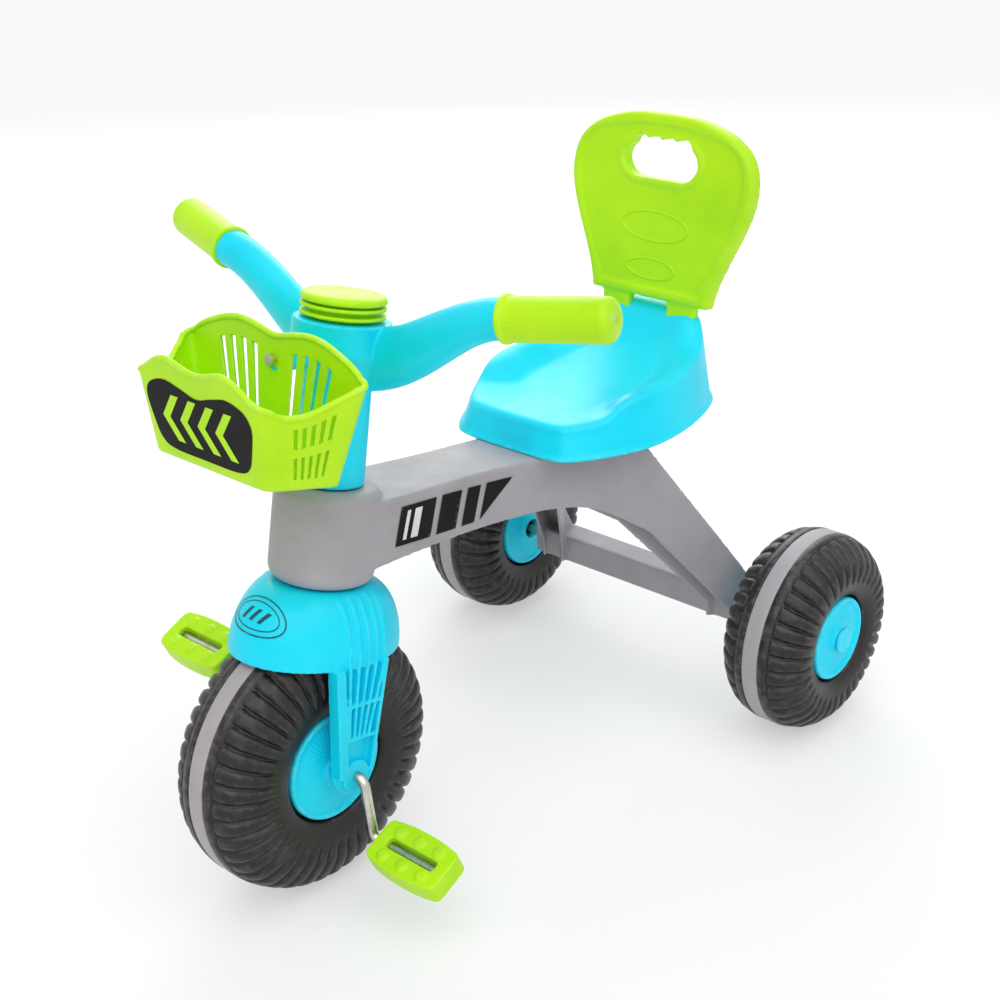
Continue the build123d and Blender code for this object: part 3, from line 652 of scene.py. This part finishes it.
def frame_block(inset):
    """The beam and legs, cut from the side and from above."""
    front = AHEAD * FRONT_AXLE[0]
    side, plan = Solids(), Solids()
    side.prism(frame_side(inset), (front, AHEAD, UP, -LEFT), near=-140.0, far=140.0)
    plan.prism(frame_plan(inset), (front, AHEAD, LEFT, UP), near=-20.0, far=400.0)
    return cut(side.mesh("frame_side"), "frame_block", "INTERSECT", plan.mesh("frame_plan"))


def make_frame():
    """The hollow beam and legs, with the round steering head and the axle housing."""
    ends = [steer_ring(v, HEAD_BORE, HEAD_BORE, count=64) for v in BORE_ENDS]
    bore = looped("head_bore", ends, closed=False)
    beam = cut(frame_block(0.0), "beam", "DIFFERENCE", frame_block(FRAME_WALL), bore)
    solids = Solids()
    corners = [vertex.co / MM for vertex in beam.vertices]
    solids.add(corners, [tuple(polygon.vertices) for polygon in beam.polygons])
    solids.tube(HEAD_BORE, outer=41.0, low=145.0, high=220.0, rounding=9.0)
    axle = Vector((REAR_AXLE_X, 0.0, REAR_RADIUS))
    solids.prism(square(HOUSING_HALF), (axle, AHEAD, UP, -LEFT), near=-128.0, far=128.0)
    name = "main_frame_moulded"
    mesh = baked(solids.mesh("frame_raw"), name, rounding_steps(voxel=1.2, passes=30, keep=0.3))
    return add_piece(name, mesh, "grey", "frame", "main_frame")


def beam_print(frame_piece):
    """Slanted bars along both sides of the beam."""
    surface = surface_of(frame_piece)
    prints = (("bar", BEAM_BARS, "print", BAR_LIFT), ("stroke", BEAM_STROKES, "pale", STROKE_LIFT))
    for side, flank in ((1, "left"), (-1, "right")):
        view = (Vector((FRONT_AXLE[0], side * BEAM_HALF, 0.0)), AHEAD, UP, LEFT * side)
        for kind, shapes, look, lift in prints:
            for index, shape in enumerate(shapes):
                name = f"beam_{kind}_{flank}_{index}"
                laid_on(name, surface, view, shape, look, "frame", lift, step=2.0)


# ----- fork and mudguard

# Mudguard: heights of its lip, top and roof, half length and width at the lip, neck at the top
GUARD_LIP, GUARD_TOP, GUARD_ROOF = 90.0, 144.0, 134.0
GUARD_LENGTH, GUARD_WIDTH, GUARD_NECK, GUARD_INNER_NECK = 73.0, 57.0, 34.0, 20.0
GUARD_WALL, GUARD_STEPS, GUARD_SIDES, GUARD_CENTRE = 3.0, 16, 120, 0.4
# Legs: a plate with a round foot, ribs that gather towards it, and flanges along both edges
LEG_IN, LEG_WALL = 47.0, 5.0
LEG_TOP_HALF, LEG_FORWARD, LEG_END, LEG_TOP_BAND = 27.0, 4.0, 17.0, 9.0
RIB_TOPS = (-19.0, -10.0, -1.0, 8.0, 17.0)
RIB_WIDTH, RIB_HEIGHT, RIB_FOOT, RIB_GATHER = 2.6, 7.0, 34.0, 0.55
CROSS_RIBS = ((32.0, 16.0), (60.0, 20.0))
FRONT_FLANGE, REAR_FLANGE, FLANGE_OVERLAP = 9.0, 3.0, 3.0
BOSS_RADIUS, FOOT_STEPS = 13.0, 16
# Ribs over the mudguard's shoulders
RIB_RISE, RIB_ROOT, RIB_ROOT_DROP, RIB_REACH, RIB_STEPS = 2.6, 5.5, 1.0, 0.97, 18
# Print on the mudguard: its tilt, two oval lines as (outer, inner) halves, three strokes
PRINT_TILT = radians(40.0)
GUARD_RINGS = {"outer": ((27, 15), (26, 14)), "inner": ((22, 11), (21.2, 10.2))}
STROKES, STROKE, PRINT_LIFT = (-9.0, 0.0, 9.0), [(-4.5, -5), (-1.0, -5), (4.5, 5), (1.0, 5)], 0.3


def guard_half(share, length_half, width_half, neck):
    """Half length and half width of the mudguard's oval at a share of its height."""
    swell = sqrt(max(0.0, 1 - share**2))
    return neck + swell * (length_half - neck), neck + swell * (width_half - neck)


def guard_height(share, top=GUARD_TOP):
    return GUARD_LIP + share * (top - GUARD_LIP)


def add_guard(fork):
    """The bell of the mudguard, as one closed wall."""
    shares = [sin(pi / 2 * step / GUARD_STEPS) for step in range(GUARD_STEPS + 1)]
    outer = GUARD_LENGTH, GUARD_WIDTH, GUARD_NECK
    inner = GUARD_LENGTH - GUARD_WALL, GUARD_WIDTH - GUARD_WALL, GUARD_INNER_NECK
    levels = [(guard_height(s), *guard_half(s, *outer)) for s in shares]
    levels += [(v, GUARD_CENTRE, GUARD_CENTRE) for v in (GUARD_TOP, GUARD_ROOF)]
    levels += [(guard_height(s, GUARD_ROOF), *guard_half(s, *inner)) for s in reversed(shares)]
    fork.loops([steer_ring(*level, GUARD_SIDES) for level in levels], True)


def add_leg(fork, side):
    """One leg: plate, ribs, flanges and boss, and the ribs over the mudguard's shoulder."""
    flank = (STEER_ORIGIN, STEER_FORWARD, STEER_UP, LEFT * side)
    across = (STEER_ORIGIN, LEFT * side, STEER_UP, STEER_FORWARD)
    front, rear = LEG_FORWARD + LEG_TOP_HALF, LEG_FORWARD - LEG_TOP_HALF
    plate_top, flange_top = GUARD_LIP + LEG_WALL, GUARD_LIP + FLANGE_OVERLAP
    turns = [pi * (1 + step / FOOT_STEPS) for step in range(FOOT_STEPS + 1)]
    foot = [(LEG_END * cos(turn), LEG_END * sin(turn)) for turn in turns]
    fork.prism(foot + [(front, plate_top), (rear, plate_top)], flank, LEG_IN, LEG_IN + LEG_WALL)
    band = slab(GUARD_LIP, (rear, front), GUARD_LIP + LEG_TOP_BAND, (rear, front))
    fork.prism(band, flank, LEG_IN, GUARD_WIDTH - GUARD_WALL + 1)

    rib_in, rib_out = LEG_IN + LEG_WALL - 1, LEG_IN + LEG_WALL + RIB_HEIGHT
    half, high = RIB_WIDTH / 2, GUARD_LIP + RIB_WIDTH
    for rib in RIB_TOPS:
        low = LEG_FORWARD + (rib - LEG_FORWARD) * RIB_GATHER
        stem = slab(RIB_FOOT, (low - half, low + half), high, (rib - half, rib + half))
        fork.prism(stem, flank, rib_in, rib_out)
        shoulder = []
        for step in range(RIB_STEPS + 1):
            share = RIB_REACH * step / RIB_STEPS
            grown = GUARD_LENGTH + RIB_RISE, GUARD_WIDTH + RIB_RISE
            long_half, wide_half = guard_half(share, *grown, GUARD_NECK)
            reach = wide_half * sqrt(max(0.0, 1 - (rib / long_half) ** 2))
            shoulder.append((reach, guard_height(share)))
        root = [(reach - RIB_ROOT, v - RIB_ROOT_DROP) for reach, v in reversed(shoulder)]
        fork.prism(shoulder + root, across, rib - half, rib + half)
    for height, reach in CROSS_RIBS:
        middle = LEG_FORWARD * height / GUARD_LIP
        span = middle - reach, middle + reach
        fork.prism(slab(height - half, span, height + half, span), flank, rib_in, rib_out)
    ahead = (LEG_END - FRONT_FLANGE, LEG_END), (front - FRONT_FLANGE, front)
    behind = (-LEG_END, REAR_FLANGE - LEG_END), (rear, rear + REAR_FLANGE)
    for foot, head in (ahead, behind):
        fork.prism(slab(0, foot, flange_top, head), flank, rib_in, rib_out)
    fork.prism(oval(BOSS_RADIUS, BOSS_RADIUS, count=40), flank, rib_in, rib_out - 1)


def make_fork():
    """The mudguard, two ribbed legs and the column."""
    fork = Solids()
    add_guard(fork)
    fork.tube(inner=15.0, outer=20.0, low=130.0, high=330.0)
    for side in (1, -1):
        add_leg(fork, side)
    steps = rounding_steps(voxel=0.9, passes=3, keep=0.4)
    mesh = baked(fork.mesh("fork_raw"), "fork_moulded", steps)
    return add_piece("fork_moulded", mesh, "cyan", "steering", "fork")


def guard_print(fork):
    """Two fine oval lines with three short strokes on the front of the mudguard."""
    surface = surface_of(fork)
    lean, rise = cos(PRINT_TILT), sin(PRINT_TILT)
    out = STEER_FORWARD * lean + STEER_UP * rise
    up = STEER_UP * lean - STEER_FORWARD * rise
    view = (steer_point(x=52.0, y=0.0, v=117.0), LEFT, up, out)
    for ring, (outer, inner) in GUARD_RINGS.items():
        line, hole = oval(*outer), oval(*inner)
        laid_on("guard_ring_" + ring, surface, view, line, "ink", "steering", PRINT_LIFT, [hole])
    for index, place in enumerate(STROKES):
        stroke = [(place + u, v) for u, v in STROKE]
        laid_on(f"guard_stroke_{index}", surface, view, stroke, "ink", "steering", PRINT_LIFT)


# ----- seat and backrest

# Seat: plan outline, height of the rim's crest and height of the dish, from tail to nose
SEAT_NOSE, SEAT_TAIL, SEAT_HALF = -246.0, -469.0, 96.0
SEAT_MIDDLE, SEAT_LENGTH = (SEAT_NOSE + SEAT_TAIL) / 2, SEAT_NOSE - SEAT_TAIL
SEAT_SIDE = [(-248, 44), (-257, 62), (-284, 80), (-316, 93), (-352, 96)]
SEAT_SIDE += [(-394, 90), (-436, 75), (-457, 55), (-466, 28)]
CREST = height_path(
    [(-470, 361), (-456, 360), (-446, 356), (-432, 345), (-412, 336), (-380, 332)]
    + [(-340, 330), (-312, 329), (-296, 325), (-284, 317), (-272, 314), (-246, 312)],
    6,
)
DISH = height_path(
    [(-452, 356), (-440, 346), (-425, 335), (-400, 324)]
    + [(-360, 315), (-310, 311), (-270, 312), (-246, 312)],
    6,
)
# Flared foot as (inset, height); then the skirt, the rolled crest and the dish
SEAT_FOOT = [(3.0, 297.0), (3.0, 285.0), (-1.6, 285.0), (-2.2, 286.0), (-2.0, 287.6), (0.2, 289.0)]
SKIRT_INSET, SKIRT_LOW = SEAT_FOOT[-1]
SKIRT_SLOPE, SKIRT_STEPS, SEAT_SET_BACK = 0.25, 12, 0.8
CREST_RISE, CREST_WIDTH, CREST_STEPS = 6.0, 8.0, 8
DISH_STEPS, DISH_BLEND = 40, 0.42
OUTLINE_STEPS = 12
# Backrest: its lean and foot, its hand hole, and raised ovals as (height, half width, half height)
BACK_LEAN = radians(8.4)
BACK_FOOT = Vector((FRONT_AXLE[0] - 436.0, 0.0, 366.0))
BACK_OUT = Vector((cos(BACK_LEAN), 0.0, sin(BACK_LEAN)))
BACK_UP = Vector((-sin(BACK_LEAN), 0.0, cos(BACK_LEAN)))
HOLE, HOLE_BLEND, HOLE_SPREAD = 122.0, [(22.0, 1.0), (44.0, 0.0)], [(0.0, 0.0), (40.0, 6.8), (78.0, 0.0)]
LENSES, LENS_BEAD = ((66.0, 36.0, 13.0), (28.0, 26.0, 9.0)), 1.1


def skirt_rise(point):
    """Height of the seat's skirt at a point of the outline."""
    return value_at(CREST, point[0]) - CREST_RISE - SKIRT_LOW


def seat_place(point, inset, height):
    """A point of the seat: a point of its outline drawn in by an inset, at a height."""
    lean = SEAT_SET_BACK * min(max(inset, 0.0), SKIRT_SLOPE * skirt_rise(point))
    x = SEAT_MIDDLE + (point[0] - SEAT_MIDDLE) * (1 - 2 * inset / SEAT_LENGTH) - lean
    y = point[1] * (1 - inset / SEAT_HALF)
    return Vector((FRONT_AXLE[0] + x, y, height))


def skirt_point(point, share):
    rise = skirt_rise(point) * share
    return seat_place(point, SKIRT_INSET + SKIRT_SLOPE * rise, SKIRT_LOW + rise)


def crest_point(point, share):
    turn = pi / 2 * share
    rise = skirt_rise(point)
    inset = SKIRT_INSET + SKIRT_SLOPE * rise + CREST_WIDTH * (1 - cos(turn))
    return seat_place(point, inset, SKIRT_LOW + rise + CREST_RISE * sin(turn))


def dish_point(point, share):
    rise = skirt_rise(point)
    crest = SKIRT_LOW + rise + CREST_RISE
    start = SKIRT_INSET + CREST_WIDTH + SKIRT_SLOPE * rise
    inset = start + (SEAT_HALF - start) * share
    dish = value_at(DISH, seat_place(point, inset, 0.0).x - FRONT_AXLE[0])
    blend = smoothstep(min(1.0, share / DISH_BLEND))
    return seat_place(point, inset, crest + (dish - crest) * blend)


def make_seat():
    """The seat: a flared skirt, a rolled crest and a shallow dish that runs up to the backrest."""
    right = [(x, -y) for x, y in reversed(SEAT_SIDE)]
    corners = [(SEAT_NOSE, 0.0)] + SEAT_SIDE + [(SEAT_TAIL, 0.0)] + right
    outline = smooth_path(corners, OUTLINE_STEPS, closed=True)
    rings = [[seat_place(point, inset, height) for point in outline] for inset, height in SEAT_FOOT]
    for part, steps in ((skirt_point, SKIRT_STEPS), (crest_point, CREST_STEPS), (dish_point, DISH_STEPS)):
        rings += [[part(point, step / steps) for point in outline] for step in range(1, steps + 1)]
    # The dish's last ring would be a single point
    raw = looped("seat_raw", rings[:-1], closed=False)
    mesh = baked(raw, "seat_moulded", [("SMOOTH", {"factor": 0.4, "iterations": 2})])
    add_piece("seat_moulded", mesh, "cyan", "frame", "seat")


def widen_hand_hole(backrest):
    """Spread the hand hole sideways, with the plate around it following smoothly."""
    for vertex in backrest.data.vertices:
        place = vertex.co / MM - BACK_FOOT
        near = smoothstep(value_at(HOLE_BLEND, abs(place.dot(BACK_UP) - HOLE)))
        spread = value_at(HOLE_SPREAD, abs(place.y))
        vertex.co.y += copysign(spread * near, place.y) * MM


def back_relief(backrest):
    """Raised oval lines on the face of the backrest."""
    surface = surface_of(backrest)
    view = (BACK_FOOT, LEFT, BACK_UP, BACK_OUT)
    for index, (v, half_u, half_v) in enumerate(LENSES):
        line = oval(half_u, half_v, v, count=96)
        bead_on(f"backrest_lens_{index}", surface, view, line, LENS_BEAD, "lime", "frame")


# ----- basket

# Tub at its floor and at its top: back, front, half width of back and of front, corner radius
BASKET_FLOOR, BASKET_TOP, BASKET_ROWS, BASKET_WALL = 246.0, 345.0, 78, 2.4
TUB_LOW, TUB_HIGH = (59.0, 114.0, 72.0, 60.0, 8.0), (65.0, 143.0, 104.0, 68.0, 9.0)
TUB_MIDDLE = Vector((95.0, 0.0))
# Cells of the wall's left half, from the middle of the back to the middle of the front
BACK_CELLS, CORNER_CELLS, SIDE_CELLS, FRONT_CELLS = 118, 8, 96, 40
BACK_END = BACK_CELLS + CORNER_CELLS // 2
SIDE_END = BACK_CELLS + CORNER_CELLS + SIDE_CELLS + CORNER_CELLS // 2
# Heights of the waved rim, by place across the back, along a side and across the front
RIM_BACK = height_path([(0, 336.5), (38, 343), (72, 335), (104, 321)], 8)
RIM_SIDE = height_path([(60, 323), (68, 320), (85, 311), (102, 302), (118, 298), (130, 299), (143, 303)], 8)
RIM_FRONT = height_path([(0, 312), (16, 316), (33, 321), (50, 313), (68, 303)], 8)
RIM_SMOOTHING = 60
LIP_SIDES, LIP_RADIUS, LIP_OUT, LIP_DROP = 10, 2.5, 0.6, 1.0
# Slits of the back and of the sides: their middle columns, half width in cells, and rows
SLITS = (
    ((28, 44, 60, 76), 4, ((24, 66),)),
    ((146, 158, 170, 182, 194), 3, ((9, 34), (43, 66))),
)
# Print on the basket's front: half of a dark panel, and arrowheads
PANEL_HALF = [(0, 251), (34, 251.5), (47, 257), (53, 272), (56, 288), (50, 298), (34, 303), (17, 300)]
PANEL_TOP = (0, 296)
ARROW = [(0, 259), (-8, 259), (-21, 276), (-8, 293), (0, 293), (-13, 276)]
ARROWS, ARROW_START, ARROW_PITCH = 4, 37.0, 19.0


def bend(start, corner, end, t):
    """A point on a smooth bend that turns around a corner."""
    return start.lerp(corner, t).lerp(corner.lerp(end, t), t)


def tub_outline(back, front, back_half, front_half, radius):
    """The tub's outline, from the middle of the back round by the left."""
    corner, next_corner = Vector((back, back_half)), Vector((front, front_half))
    way = (next_corner - corner).normalized()
    drop = Vector((0.0, radius))
    middle, last = Vector((back, 0.0)), Vector((front, 0.0))
    path = [middle.lerp(corner - drop, step / BACK_CELLS) for step in range(BACK_CELLS)]
    turns = [step / CORNER_CELLS for step in range(CORNER_CELLS)]
    path += [bend(corner - drop, corner, corner + way * radius, t) for t in turns]
    start, end = corner + way * radius, next_corner - way * radius
    path += [start.lerp(end, step / SIDE_CELLS) for step in range(SIDE_CELLS)]
    path += [bend(end, next_corner, next_corner - drop, t) for t in turns]
    path += [(next_corner - drop).lerp(last, step / FRONT_CELLS) for step in range(FRONT_CELLS + 1)]
    return path + [Vector((point.x, -point.y)) for point in reversed(path[1:-1])]


def rim_heights(outline):
    """Height of the waved rim at each point of the tub's outline."""
    count = len(outline)
    heights = []
    for index, point in enumerate(outline):
        column = min(index, count - index)
        if column < BACK_END:
            heights.append(value_at(RIM_BACK, abs(point.y)))
        elif column < SIDE_END:
            heights.append(value_at(RIM_SIDE, point.x))
        else:
            heights.append(value_at(RIM_FRONT, abs(point.y)))
    for _ in range(RIM_SMOOTHING):
        around = zip(heights[-1:] + heights[:-1], heights, heights[1:] + heights[:1])
        heights = [0.25 * before + 0.5 * here + 0.25 * after for before, here, after in around]
    return heights


def in_slit(column, row):
    """Whether a cell of the tub's wall lies in a slit."""
    for middles, half, spans in SLITS:
        if any(middle - half <= column < middle + half for middle in middles):
            return any(low <= row < high for low, high in spans)
    return False


def make_basket():
    """The tub with slits and a waved rim, and a rolled lip that follows the rim."""
    low, high = tub_outline(*TUB_LOW), tub_outline(*TUB_HIGH)
    heights = rim_heights(high)
    count, rows = len(low), BASKET_ROWS + 1

    def wall(index, v):
        share = (v - BASKET_FLOOR) / (BASKET_TOP - BASKET_FLOOR)
        return low[index % count].lerp(high[index % count], share)

    skin = Solids()
    for index, height in enumerate(heights):
        for row in range(rows):
            v = BASKET_FLOOR + (height - BASKET_FLOOR) * row / BASKET_ROWS
            flat = wall(index, v)
            skin.verts.append(steer_point(flat.x, flat.y, v))
        here, there = index * rows, (index + 1) % count * rows
        column = min(index, count - 1 - index)
        for row in range(BASKET_ROWS):
            if not in_slit(column, row):
                skin.faces.append((here + row, there + row, there + row + 1, here + row + 1))
    skin.faces.append(tuple(index * rows for index in reversed(range(count))))
    shell = [("SOLIDIFY", {"thickness": BASKET_WALL * MM, "offset": -1.0})]
    mesh = baked(skin.mesh("basket_raw"), "basket_tub", shell)
    tub = add_piece("basket_tub", mesh, "lime", "steering", "basket")

    rings = []
    for index, height in enumerate(heights):
        flat = wall(index, height)
        along = (wall(index + 1, height) - wall(index - 1, height)).normalized()
        out = Vector((along.y, -along.x))
        if out.dot(flat - TUB_MIDDLE) < 0.0:
            out = -out
        ring = []
        for turn in full_turn(LIP_SIDES):
            reach, rise = LIP_RADIUS * cos(turn) + LIP_OUT, LIP_RADIUS * sin(turn)
            x, y = flat.x + out.x * reach, flat.y + out.y * reach
            ring.append(steer_point(x, y, height - LIP_DROP + rise))
        rings.append(ring)
    add_piece("basket_lip", looped("basket_lip", rings), "lime", "steering")
    return tub


def basket_print(basket):
    """A dark panel on the basket's front with a row of lime arrowheads."""
    surface = surface_of(basket)
    view = (steer_point(x=130.0, y=0.0, v=0.0), LEFT, STEER_UP, STEER_FORWARD)
    corners = PANEL_HALF + [PANEL_TOP] + [(-u, v) for u, v in reversed(PANEL_HALF[1:])]
    panel = smooth_path(corners, PATH_STEPS, closed=True)
    laid_on("basket_panel", surface, view, panel, "print", "steering", lift=0.3)
    for index in range(ARROWS):
        arrow = [(ARROW_START - ARROW_PITCH * index + u, v) for u, v in ARROW]
        laid_on(f"basket_arrow_{index}", surface, view, arrow, "lime", "steering", lift=0.5)


# ----- handlebar, grips and horn

# Grip: its ends on the left, bore, radius, domed end, flange at the inner end as (along, radius), ridges
GRIP_START = Vector((FRONT_AXLE[0] - 90.0, 143.0, 471.0))
GRIP_END = Vector((FRONT_AXLE[0] - 112.0, 227.0, 481.0))
GRIP_SHORTER, GRIP_BORE, GRIP_BORE_END, GRIP_RADIUS, GRIP_CENTRE = 3.0, 11.05, 62.5, 16.0, 0.05
GRIP_FLANGE = [(0.0, 16.4), (0.5, 17.1), (1.4, 17.4), (3.4, 17.4), (4.4, 17.0), (5.0, 16.2)]
GRIP_FLANGE += [(5.6, GRIP_RADIUS)]
GRIP_DOME, DOME_STEPS, DOME_POWER, RIDGE_STEPS = 9.0, 11, 2.6, 12
GRIP_RIDGES, SAMPLES_PER_RIDGE, RIDGE_DEPTH = 44, 5, 0.16


def make_grip(side):
    """A handle grip with fine ridges along it, turned about the end of the bar."""
    mirror = Vector((1.0, side, 1.0))
    start, end = GRIP_START * mirror, GRIP_END * mirror
    axis = (end - start).normalized()
    across = axis.cross(UP).normalized()
    up = across.cross(axis)
    dome_end = (end - start).length - GRIP_SHORTER
    dome_start = dome_end - GRIP_DOME
    profile = [(0.0, GRIP_BORE)] + GRIP_FLANGE
    ridged, ridge_start = len(profile), profile[-1][0]
    for step in range(1, RIDGE_STEPS + 1):
        profile.append((ridge_start + (dome_start - ridge_start) * step / RIDGE_STEPS, GRIP_RADIUS))
    smooth_from = len(profile) - 1
    for step in range(1, DOME_STEPS + 1):
        share = step / DOME_STEPS
        radius = GRIP_RADIUS * (1 - share**DOME_POWER) ** (1 / DOME_POWER)
        profile.append((dome_start + GRIP_DOME * share, max(GRIP_CENTRE, radius)))
    profile += [(GRIP_BORE_END, GRIP_CENTRE), (GRIP_BORE_END, GRIP_BORE)]
    rings = []
    for step, turn in enumerate(full_turn(GRIP_RIDGES * SAMPLES_PER_RIDGE)):
        spoke = across * cos(turn) + up * sin(turn)
        groove = RIDGE_DEPTH * abs(2 * ((step / SAMPLES_PER_RIDGE) % 1.0) - 1) ** 2
        ring = []
        for index, (along, radius) in enumerate(profile):
            sink = groove if ridged <= index <= smooth_from else 0.0
            ring.append(start + axis * along + spoke * (radius - sink))
        rings.append(ring)
    node = "left_grip" if side > 0 else "right_grip"
    name = node + "_ridged"
    add_piece(name, looped(name, rings), "lime", "steering", node)


def make_horn():
    """The press button, and the bellows under it, with a mesh of its own."""
    softened("horn_button", "lime", voxel=0.6, passes=2)
    bellows = softened("horn_bellows", "lime", voxel=0.7, passes=3)
    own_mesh(bellows)


def moulded_pieces():
    """All mouldings, with what is printed or raised on them."""
    beam_print(make_frame())
    make_seat()
    backrest = softened("backrest", "lime", voxel=1.4, passes=6)
    widen_hand_hole(backrest)
    back_relief(backrest)
    guard_print(make_fork())
    softened("handlebar", "cyan", voxel=0.9, passes=12, keep=0.4)
    basket_print(make_basket())
    for side in (1, -1):
        make_grip(side)
    for pedal in ("left_pedal", "right_pedal"):
        softened(pedal, "lime", voxel=1.0, passes=4)
    make_horn()


# ----- camera and studio

# Camera, fitted to the photograph: azimuth, elevation and roll, place, focal length in pixels of its width
CAMERA_TURN = radians(132.5), radians(25.01), radians(-1.793)
CAMERA_PLACE = Vector((904.5, 851.7, 828.4))
CAMERA_FOCAL, IMAGE_WIDTH, SENSOR_WIDTH = 1633.0, 1000.0, 36.0
# Floor, and the share of plain white in it where the camera sees it; the room's own light
FLOOR_REACH, FLOOR_WHITE = 30.0, 0.45
FLOOR_LOOK = {"Base Color": (0.94, 0.94, 0.945, 1.0), "Roughness": 0.9, "Specular IOR Level": 0.1}
WHITE = (1.0, 1.0, 1.0, 1.0)
ROOM_LIGHT, ROOM_SEEN = 0.48, 1.0


def add_camera():
    """The camera at the photograph's viewing angle."""
    azimuth, elevation, roll = CAMERA_TURN
    level = cos(elevation)
    right = Vector((cos(azimuth), sin(azimuth), 0.0))
    back = Vector((sin(azimuth) * level, -cos(azimuth) * level, sin(elevation)))
    up = back.cross(right)
    side = right * cos(roll) + up * sin(roll)
    top = up * cos(roll) - right * sin(roll)
    data = bpy.data.cameras.new("camera")
    data.sensor_width = SENSOR_WIDTH
    data.lens = CAMERA_FOCAL * SENSOR_WIDTH / IMAGE_WIDTH
    scene.camera = in_scene("camera", data)
    turn = Matrix((side, top, back)).transposed().to_4x4()
    scene.camera.matrix_world = Matrix.Translation(CAMERA_PLACE * MM) @ turn


def seen_directly(tree):
    """1 where the camera looks, also by way of a mirror or a clear body; 0 for light."""
    path = tree.nodes.new("ShaderNodeLightPath")
    seen = path.outputs["Is Camera Ray"]
    for kind in ("Is Glossy Ray", "Is Transmission Ray"):
        either = tree.nodes.new("ShaderNodeMath")
        either.operation = "MAXIMUM"
        tree.links.new(seen, either.inputs[0])
        tree.links.new(path.outputs[kind], either.inputs[1])
        seen = either.outputs[0]
    return seen


def mixed(tree, share, first, second, output):
    """Mix two shaders by a share, into an output node."""
    blend = tree.nodes.new("ShaderNodeMixShader")
    for entry, socket in enumerate((share, first.outputs[0], second.outputs[0])):
        tree.links.new(socket, blend.inputs[entry])
    tree.links.new(blend.outputs[0], tree.nodes[output].inputs["Surface"])


def add_floor():
    """A pale floor that runs out of sight and keeps a soft shadow."""
    mat = Nodes("studio_floor")
    for socket, value in FLOOR_LOOK.items():
        mat.shader.inputs[socket].default_value = value
    glow = mat.add("ShaderNodeEmission", Color=WHITE, Strength=1.0)
    part = mat.add("ShaderNodeMath")
    part.operation = "MULTIPLY"
    part.inputs[1].default_value = FLOOR_WHITE
    mat.tree.links.new(seen_directly(mat.tree), part.inputs[0])
    mixed(mat.tree, part.outputs[0], mat.shader, glow, "Material Output")

    mesh = bpy.data.meshes.new("studio_floor")
    mesh.from_pydata([(x, y, 0.0) for x, y in square(FLOOR_REACH)], [], [(0, 1, 2, 3)])
    mesh.materials.append(mat.material)
    floor = in_scene("studio_floor", mesh)


def add_room():
    """A room of even light, which the camera sees as plain white."""
    world = bpy.data.worlds.new("white_room")
    world.use_nodes = True
    tree = world.node_tree
    light, seen = tree.nodes["Background"], tree.nodes.new("ShaderNodeBackground")
    for ground, strength in ((light, ROOM_LIGHT), (seen, ROOM_SEEN)):
        ground.inputs["Color"].default_value = WHITE
        ground.inputs["Strength"].default_value = strength
    mixed(tree, seen_directly(tree), light, seen, "World Output")
    scene.world = world


def add_lamp(name, kind, place, back, **settings):
    """A lamp at a place, with the direction from which its light comes."""
    data = bpy.data.lights.new(name, kind)
    for key, value in settings.items():
        setattr(data, key, value)
    lamp = in_scene(name, data)
    lamp.location = place
    lamp.rotation_euler = Vector(back).to_track_quat("Z", "Y").to_euler()


def add_lamps():
    """A wide, even sun like a diffuser overhead, and a soft lamp from behind."""
    add_lamp("overhead", "SUN", (0, 0, 0), back=(0.35, 0.45, 1.0), angle=radians(80.0), energy=1.75)
    place, back = (-1.5, -1.3, 1.5), (-1.5, -1.3, 1.25)
    add_lamp("softbox", "AREA", place, back, shape="DISK", size=2.0, energy=26.0)


dress_nodes()
build_wheels()
moulded_pieces()
add_camera()
add_floor()
add_room()
add_lamps()
scene.view_settings.view_transform = "Standard"
